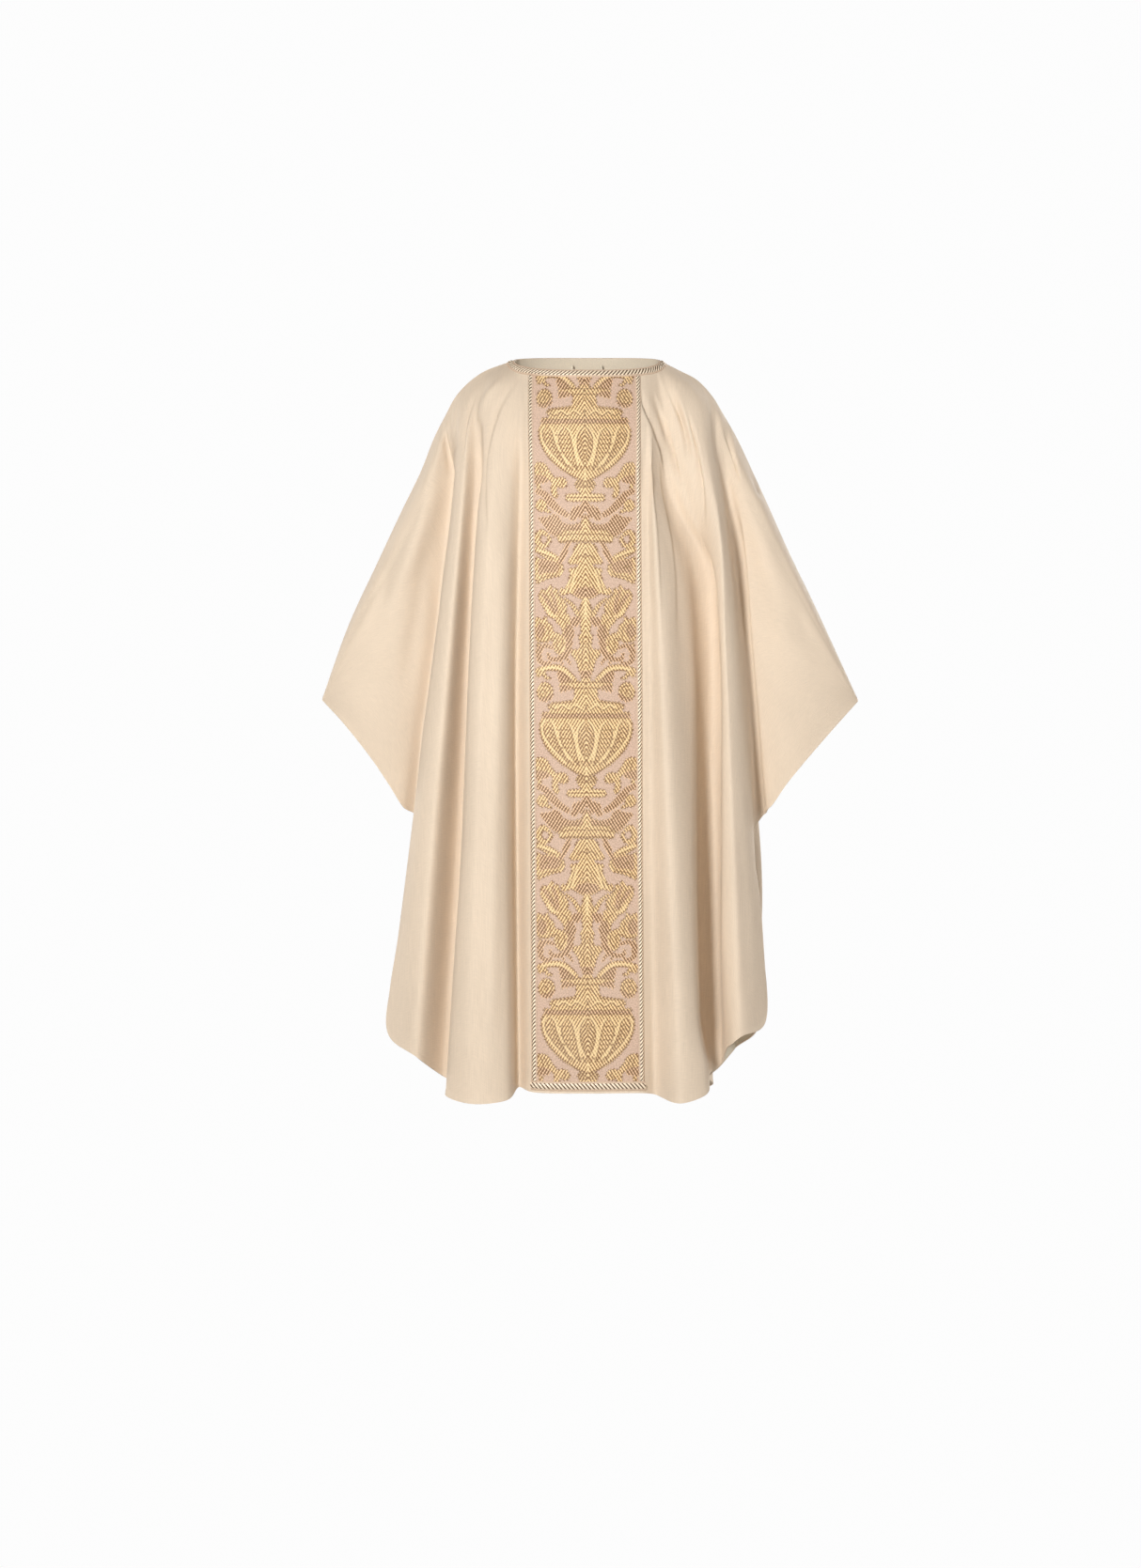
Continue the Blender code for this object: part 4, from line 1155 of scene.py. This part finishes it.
def cloth_halves(panel):
    points, normals = panel.points, panel.normals.copy()
    line_tops = np.interp(panel.lines, np.arange(len(panel.tops)), panel.tops)
    on_seam = abs(line_tops) > 1.0
    # beside the seam the thickness lies more and more within the seam plane
    for row, share in enumerate((1.0, 0.8, 0.5, 0.25)):
        normals[row, on_seam, 1] *= 1.0 - share
    normals = unit(normals)
    at_hem = np.clip(1 - (1.0 - panel.drops) / 0.006, 0, 1)[:, None, None]
    top = points + normals * hem_lift(panel)[..., None]
    bottom = points - normals * (CLOTH + 0.0006 * at_hem)
    middle = panel.middle_column
    for half, part in (("right", slice(0, middle + 1)), ("left", slice(middle, None))):
        obj = slab(panel.side + "_cloth_" + half, top[:, part], bottom[:, part],
                   panel.uv[:, part])
        nodes = [panel.side + "_centre_panel", panel.side + "_drape_" + half]
        finish(obj, WOOL_MAT, nodes, half=half)


def orphrey(panel, motif):
    lines = panel.mid + np.linspace(-0.945, 0.945, 128)
    drops = np.linspace(0.0085, 0.985, 786)
    points, normals, uv = panel.patch(lines, drops)
    across = -uv[..., 0] if panel.back else uv[..., 0]
    down = 0.5065 - points[..., 2]                  # from the height where a repeat begins
    fields = motif.sample(across, down)

    def cover(colour, soft):
        return np.clip(0.5 - fields[colour] / soft, 0, 1)

    # figures stand up, dark lines lie in them
    relief = 0.00014 * np.maximum(cover("gold", 0.0016), cover("brown", 0.0016))
    relief -= 0.00006 * cover("line", 0.0012)
    obj = face_sheet(panel.side + "_orphrey_cloth",
                     points + normals * (0.0011 + relief)[..., None],
                     points + normals * 0.00020, np.stack([across, -down], -1), fields)
    finish(obj, BROCADE_MAT, [panel.side + "_orphrey"])


def interfacing(panel):
    """A sheet between the cloth and the orphrey."""
    obj = sheet(panel.side + "_interfacing_cloth", panel,
                panel.mid + np.linspace(-0.90, 0.90, 30), np.linspace(0.012, 0.978, 150),
                high=0.00045, low=0.00012)
    finish(obj, INTER_MAT, [panel.side + "_orphrey_interfacing"])


# ------------------------------------------------------------------ braids
BRAID_W = 0.0142
NECK_BRAID_W = 0.0150
CORD_PITCH = 0.0068      # one strand to the next
# Points across a braid, as shares of its width
PROFILE = np.array([0.0, 0.0003, 0.0012, 0.0022, 0.0032, 0.0038, 0.0044, 0.0050, 0.0056,
                    0.0062, 0.0068, 0.0074, 0.0080, 0.0086, 0.0092, 0.0098, 0.0104, 0.0110,
                    0.0120, 0.0130, 0.0139, 0.0142]) / BRAID_W
UNDERSIDE = [-1, -6, len(PROFILE) // 2, 5, 0]       # profile points the underside has


def braid(name, nodes, points, normals, distance, foot, slant, closed=False, width=BRAID_W,
          under=0.0, pitch=CORD_PITCH):
    """Flat edging, twisted cord, flat edging, over cloth points (station, profile, xyz).
    distance: along the braid, foot: height of what lies under it, slant: of the strands,
    under: how far the underside reaches below the foot."""
    across, along_braid = PROFILE[None] * width, distance[:, None]
    middle, radius = width * 0.50, width * 0.31
    dome = np.sqrt(np.clip(1 - ((across - middle) / radius) ** 2, 0, 1))
    turn = (along_braid + slant * (across - middle)) / pitch
    strand = abs(np.sin(math.pi * turn)) ** 0.55
    cord = np.clip(dome * 3.0, 0, 1) + 0 * along_braid
    flat = 0.0009 * np.clip(np.minimum(across, width - across) / 0.0006, 0, 1) ** 0.5
    rib = 0.00012 * np.sin(along_braid * 2 * math.pi / 0.0026)
    height = foot + flat + rib * (1 - cord) + dome * (0.0009 + 0.0010 * strand)
    low = np.broadcast_to(foot, height.shape)[:, UNDERSIDE] - under + 0.00006
    rings = np.concatenate([points + normals * height[..., None],
                            points[:, UNDERSIDE] + normals[:, UNDERSIDE] * low[..., None]], 1)

    def around(values):
        values = np.broadcast_to(values, height.shape)
        return np.concatenate([values, values[:, UNDERSIDE]], 1)

    attrs = {"twist": around(turn), "cord": np.concatenate([cord, 0 * low], 1),
             "along": around(along_braid)}
    uv = np.stack([around(across), around(along_braid)], -1)
    obj = tube(name, rings, uv, attrs, closed, sharp=75.0)
    finish(obj, BRAID_MAT, nodes)


def orphrey_braids(panel):
    """Braids down both sides of the orphrey and across its lower end."""
    face = -1.0 if panel.back else 1.0
    away = 1.003 - PROFILE * (1.003 - 0.853)         # from the middle line, outer edge first
    step_up = np.clip((0.955 - away) / 0.02, 0, 1)   # over the orphrey's edge
    for side in (RIGHT, LEFT):
        points, normals, uv = panel.patch(panel.mid + side * away,
                                          np.linspace(0.0112, 0.9835, 1050))
        half = SIDE_NAMES[side]
        braid(panel.side + "_galloon_" + half, [panel.side + "_braid_" + half], points,
              normals, distance=-uv[:, 10, 1], foot=0.00012 + 0.00125 * step_up[None, :],
              slant=-side * face)
    lines = panel.mid + np.linspace(-1.004, 1.004, 230)
    drops = 0.9966 - PROFILE * 0.0127
    points, normals, uv = panel.patch(lines, drops)
    # its ends rise over the side braids
    rise = np.clip((np.abs(lines - panel.mid) - 0.84) / 0.02, 0, 1)[:, None]
    rise = rise * np.clip((0.9862 - drops)[None, :] / 0.002, 0, 1)
    braid(panel.side + "_galloon_bottom", [panel.side + "_braid_bottom"],
          points.transpose(1, 0, 2), normals.transpose(1, 0, 2), distance=uv[-6, :, 0],
          foot=0.0013 + 0.0007 * rise, slant=face, under=0.0010, pitch=0.0070)


def neck_surface(panels, rows=60):
    """Search tree over the upper rows of both panels."""
    verts, quads, count = [], [], 0
    for panel in panels:
        grid = panel.points[:rows]
        columns = grid.shape[1]
        faces = grid_quads(np.arange(rows * columns).reshape(rows, columns) + count)
        quads.append(faces[:, ::-1] if panel.back else faces)
        verts.append(grid.reshape(-1, 3))
        count += rows * columns
    return BVHTree.FromPolygons([tuple(v) for v in np.concatenate(verts)],
                                [tuple(q) for q in np.concatenate(quads)], all_triangles=False)


def neck_rings(panels, stations=760, step=0.0005):
    """Curves marched outward over the cloth from the neckline, with normals."""
    tree = neck_surface(panels)
    angle = np.linspace(0, 2 * math.pi, stations, endpoint=False)
    in_front = angle < math.pi
    position = np.zeros((stations, 3))
    position[in_front] = top_edge(1 - 2 * angle[in_front] / math.pi, False)
    position[~in_front] = top_edge(-1 + 2 * (angle[~in_front] - math.pi) / math.pi, True)
    outward = position - (NECK_X, 0.0, 0.0)
    outward[:, 2] = 0
    outward = unit(outward)
    path, all_normals = [position.copy()], []
    for _ in range(int(NECK_BRAID_W / step)):
        normals = np.zeros_like(position)
        for i in range(stations):
            found = tree.find_nearest(Vector(position[i] + outward[i] * step))
            position[i], normals[i] = found[0], found[1]
        for _ in range(10):                          # smooth along the curve
            normals = unit(normals + 0.5 * (np.roll(normals, 1, 0) + np.roll(normals, -1, 0)))
            mean = 0.5 * (np.roll(position, 1, 0) + np.roll(position, -1, 0))
            position = position + 0.18 * (mean - position)
        tangent = unit(np.roll(position, -1, 0) - np.roll(position, 1, 0))
        turned = np.cross(normals, tangent)
        turned *= np.sign(np.einsum("ij,ij->i", turned, outward))[:, None]
        outward = unit(turned)
        path.append(position.copy())
        all_normals.append(normals)
    path = np.array(path).transpose(1, 0, 2)         # station, outward, xyz
    return path, np.array(all_normals[:1] + all_normals).transpose(1, 0, 2)


def neck_braid(front, back, stations=1500):
    path, normals = neck_rings((front, back))
    shares = np.linspace(0, 1, path.shape[1])
    points = resample(path, shares, PROFILE, 1)
    normals = unit(resample(normals, shares, PROFILE, 1))
    line = points[:, len(PROFILE) // 2]
    pieces = np.linalg.norm(np.roll(line, -1, 0) - line, axis=1)
    total = pieces.sum()
    at = np.concatenate([[0], np.cumsum(pieces)[:-1]])
    # over the orphrey's edge the braid stands a little higher
    edges = front.at([front.mid - 1.0, front.mid + 1.0], [0.006])[0, :, 0]
    half_width = 0.5 * (edges[1] - edges[0]) * 0.96
    near = np.clip((half_width - abs(points[..., 0] - edges.mean())) / 0.004, 0, 1)
    outer = np.clip((PROFILE[None] - 0.55) / 0.15, 0, 1)
    foot = 0.00015 + 0.00125 * near * outer
    # even, dense stations for the cord
    even = np.linspace(0, total, stations, endpoint=False)
    wrapped_at = np.concatenate([at[-3:] - total, at, at[:3] + total])

    def spread(values):
        return resample(np.concatenate([values[-3:], values, values[:3]]), wrapped_at, even)

    braid("neck_galloon", ["neck_braid"], spread(points), unit(spread(normals)), even,
          spread(foot), slant=-1.0, closed=True, width=NECK_BRAID_W,
          pitch=total / round(total / CORD_PITCH))


# ------------------------------------------------------------------ inner pieces
def neck_pieces(front, back):
    """Facings under the neckline, and a blank label on the back one."""
    for panel in (front, back):
        ends = np.interp((-0.985, 0.985), panel.tops, np.arange(len(panel.tops)))
        obj = sheet(panel.side + "_neck_facing_cloth", panel, np.linspace(*ends, 220),
                    np.linspace(0.0002, 0.032, 26),
                    high=-(CLOTH + 0.00025), low=-(CLOTH + 0.00075))
        finish(obj, FACING_MAT, ["neck_facing_" + panel.side])
    obj = sheet("neck_label_blank", back, back.mid + np.linspace(-0.33, 0.33, 70),
                np.linspace(0.0125, 0.0305, 26), high=-(CLOTH + 0.0010), low=-(CLOTH + 0.0014))
    finish(obj, LABEL_MAT, ["neck_label"])


def hem_tapes(panel):
    """Tapes inside the hem and bindings inside the cuffs."""
    crease_right = panel.mid - len(FOLDS[LEFT if panel.back else RIGHT])
    crease_left = panel.mid + len(FOLDS[RIGHT if panel.back else LEFT])
    hem = np.linspace(0.9795, 0.9975, 8)
    cuff = np.linspace(0.966, 0.996, 9)
    # name, half, replaced node's ending, first line, last line, drops
    for kind, half, node, start, end, drops in (
            ("_hem_tape_", "right", "_hem_tape", crease_right + 0.03, panel.mid, hem),
            ("_hem_tape_", "left", "_hem_tape", panel.mid, crease_left - 0.03, hem),
            ("_cuff_binding_", "right", "_cuff_tape_right", 0.25, crease_right - 0.02, cuff),
            ("_cuff_binding_", "left", "_cuff_tape_left", crease_left + 0.02,
             len(panel.tops) - 1.25, cuff)):
        inside = (panel.lines > start + 1e-6) & (panel.lines < end - 1e-6)
        lines = np.concatenate([[start], panel.lines[inside], [end]])
        obj = sheet(panel.side + kind + half, panel, lines, drops,
                    high=-(CLOTH + 0.00085), low=-(CLOTH + 0.00135))
        finish(obj, TAPE_MAT, [panel.side + node], half=half)


def hanger_loop(radius=0.0013):
    """Hanging loop: a three-strand cord, filling the box of the CAD piece."""
    low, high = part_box("hanger_loop")
    half = (high.x - low.x) / 2 - radius
    drop = high.z - low.z - radius
    angle = math.pi * np.linspace(0, 1, 260)
    line = np.stack([(low.x + high.x) / 2 - half * np.cos(angle),
                     np.full(len(angle), (low.y + high.y) / 2),
                     high.z - drop * np.sin(angle) ** 0.8], -1)
    sideways = np.array([0.0, 1.0, 0.0])[None] + 0 * line
    up = np.cross(unit(np.gradient(line, axis=0)), sideways)
    distance = run(line)[:, None]
    turn = np.linspace(0, 2 * math.pi, 20, endpoint=False)[None, :]
    strands = 0.82 + 0.18 * abs(np.sin(1.5 * turn + distance / 0.0032))
    circle = (np.cos(turn)[..., None] * sideways[:, None] + np.sin(turn)[..., None] * up[:, None])
    rings = line[:, None] + radius * strands[..., None] * circle
    uv = np.stack(np.broadcast_arrays(turn * radius, distance), -1)
    obj = tube("hanger_loop_cord", rings, uv)
    finish(obj, TAPE_MAT, ["hanger_loop"], body="hanger_loop_body")


def shoulder_stays():
    """Stay tapes inside the shoulder seams, with a stitched channel along both edges."""
    for side in (LEFT, RIGHT):
        arm = ARM[side]
        distance = np.linspace(0.052, 0.112, 61)
        line = along(arm, distance / run(arm)[-1])
        step = np.gradient(line, axis=0)
        up = np.stack([-step[:, 1], step[:, 0]], 1)
        up /= np.linalg.norm(up, axis=1, keepdims=True)
        low = line - up * 0.0062
        y = np.linspace(-0.004, 0.004, 17)
        grid = np.zeros((len(y), len(distance), 3))
        grid[..., 0], grid[..., 1], grid[..., 2] = side * low[:, 0], y[:, None], low[:, 1]
        normals = np.zeros_like(grid)
        normals[..., 0], normals[..., 2] = side * up[:, 0], up[:, 1]
        groove = -0.00012 * np.exp(-((abs(y) - 0.0031) / 0.0004) ** 2)[:, None, None]
        rib = 0.00005 * np.sin(distance * 2 * math.pi / 0.0016)[None, :, None]
        uv = np.stack(np.broadcast_arrays(distance[None], y[:, None]), -1)
        name = SIDE_NAMES[side]
        obj = slab("shoulder_stay_" + name, grid + normals * (groove + rib),
                   grid - normals * 0.0006, uv)
        finish(obj, TAPE_MAT, ["shoulder_stay_tape_" + name])


# ------------------------------------------------------------------ studio
AMBIENT = 0.15           # world light on the garment
BACKDROP = 0.98          # brightness of floor and world as the camera sees them
LIGHT_AIM = (0, -0.05, 0.70)
# name, place, size, watts, colour
LIGHTS = (
    ("key", (-1.50, -4.6, 2.3), (0.6, 0.7), 222, (0.985, 1.0, 1.0)),
    ("fill", (3.9, -2.8, 1.7), (1.2, 1.6), 44, (0.985, 1.0, 1.0)),
    ("rear", (2.2, 4.2, 2.4), (1.4, 1.2), 150, (0.99, 1.0, 1.0)),
    ("rear_left", (-3.2, 2.6, 1.6), (1.6, 1.6), 75, (0.99, 1.0, 1.0)),
    ("side", (4.4, 1.4, 1.7), (1.2, 1.4), 40, (0.99, 1.0, 1.0)),
)


def floor():
    """A grey floor that the camera sees as plain white."""
    n = Nodes("studio_floor")
    n.vector = n.new("ShaderNodeTexCoord").outputs["Object"]
    soft = n.noise(1.2)
    color = n.mix(n.ramp(soft, (0.2, 0.8)), (0.56, 0.55, 0.54), (0.60, 0.59, 0.58))
    mat = n.surface(color, rough=0.9, spec=0.1)
    diffuse = n.out.inputs[0].links[0].from_socket
    glow = n.new("ShaderNodeEmission", Color=(1.0, 1.0, 1.0), Strength=BACKDROP).outputs[0]
    seen = n.times(n.new("ShaderNodeLightPath").outputs["Is Camera Ray"], 1.0)
    n.put(n.out, 0, n.mix_shaders(seen, diffuse, glow))
    bpy.ops.mesh.primitive_plane_add(size=80, location=(0, 20, -0.17))
    plane = bpy.context.object
    plane.name = "studio_floor"
    plane.data.materials.append(mat)


def world():
    """Dim warm light, white where the camera sees it."""
    sky = bpy.data.worlds.new("studio_world")
    bpy.context.scene.world = sky
    sky.use_nodes = True
    tree = sky.node_tree
    background = tree.nodes["Background"]
    seen = tree.nodes.new("ShaderNodeLightPath").outputs["Is Camera Ray"]
    tint = tree.nodes.new("ShaderNodeMix")
    tint.data_type = "RGBA"
    tint.inputs[6].default_value = (1.0, 0.79, 0.61, 1.0)
    tint.inputs[7].default_value = (1.0, 1.0, 1.0, 1.0)
    strength = tree.nodes.new("ShaderNodeMapRange")
    strength.inputs[3].default_value = AMBIENT
    strength.inputs[4].default_value = BACKDROP
    tree.links.new(seen, tint.inputs[0])
    tree.links.new(seen, strength.inputs[0])
    tree.links.new(tint.outputs[2], background.inputs[0])
    tree.links.new(strength.outputs[0], background.inputs[1])


def lights():
    for name, place, size, power, color in LIGHTS:
        light = bpy.data.lights.new(name, "AREA")
        light.shape = "RECTANGLE"
        light.size, light.size_y = size
        light.energy = power
        light.color = color
        obj = bpy.data.objects.new(name, light)
        obj.location = place
        aim = Vector(LIGHT_AIM) - Vector(place)
        obj.rotation_euler = aim.to_track_quat("-Z", "Y").to_euler()
        bpy.context.scene.collection.objects.link(obj)


def camera():
    cam = bpy.data.cameras.new("camera")
    cam.sensor_fit = "VERTICAL"
    cam.sensor_height = 24.0
    cam.lens = 24.0 * 10.0 / 2.727               # 2.727 m high view at 10 m
    cam.clip_end = 200
    obj = bpy.data.objects.new("camera", cam)
    obj.location = (-0.0343, -10.06, 0.548)
    obj.rotation_euler = (math.radians(90), 0, 0)
    scene = bpy.context.scene
    scene.collection.objects.link(obj)
    scene.camera = obj
    scene.view_settings.view_transform = "Standard"
    scene.cycles.denoising_prefilter = "NONE"     # keeps the weave from being smoothed away


# ------------------------------------------------------------------ assembly
FRONT, BACK = Panel(False), Panel(True)
MOTIF = draw_motif()
for side_panel in (FRONT, BACK):
    cloth_halves(side_panel)
    orphrey(side_panel, MOTIF)
    interfacing(side_panel)
    orphrey_braids(side_panel)
    hem_tapes(side_panel)
neck_braid(FRONT, BACK)
neck_pieces(FRONT, BACK)
hanger_loop()
shoulder_stays()
floor()
world()
lights()
camera()
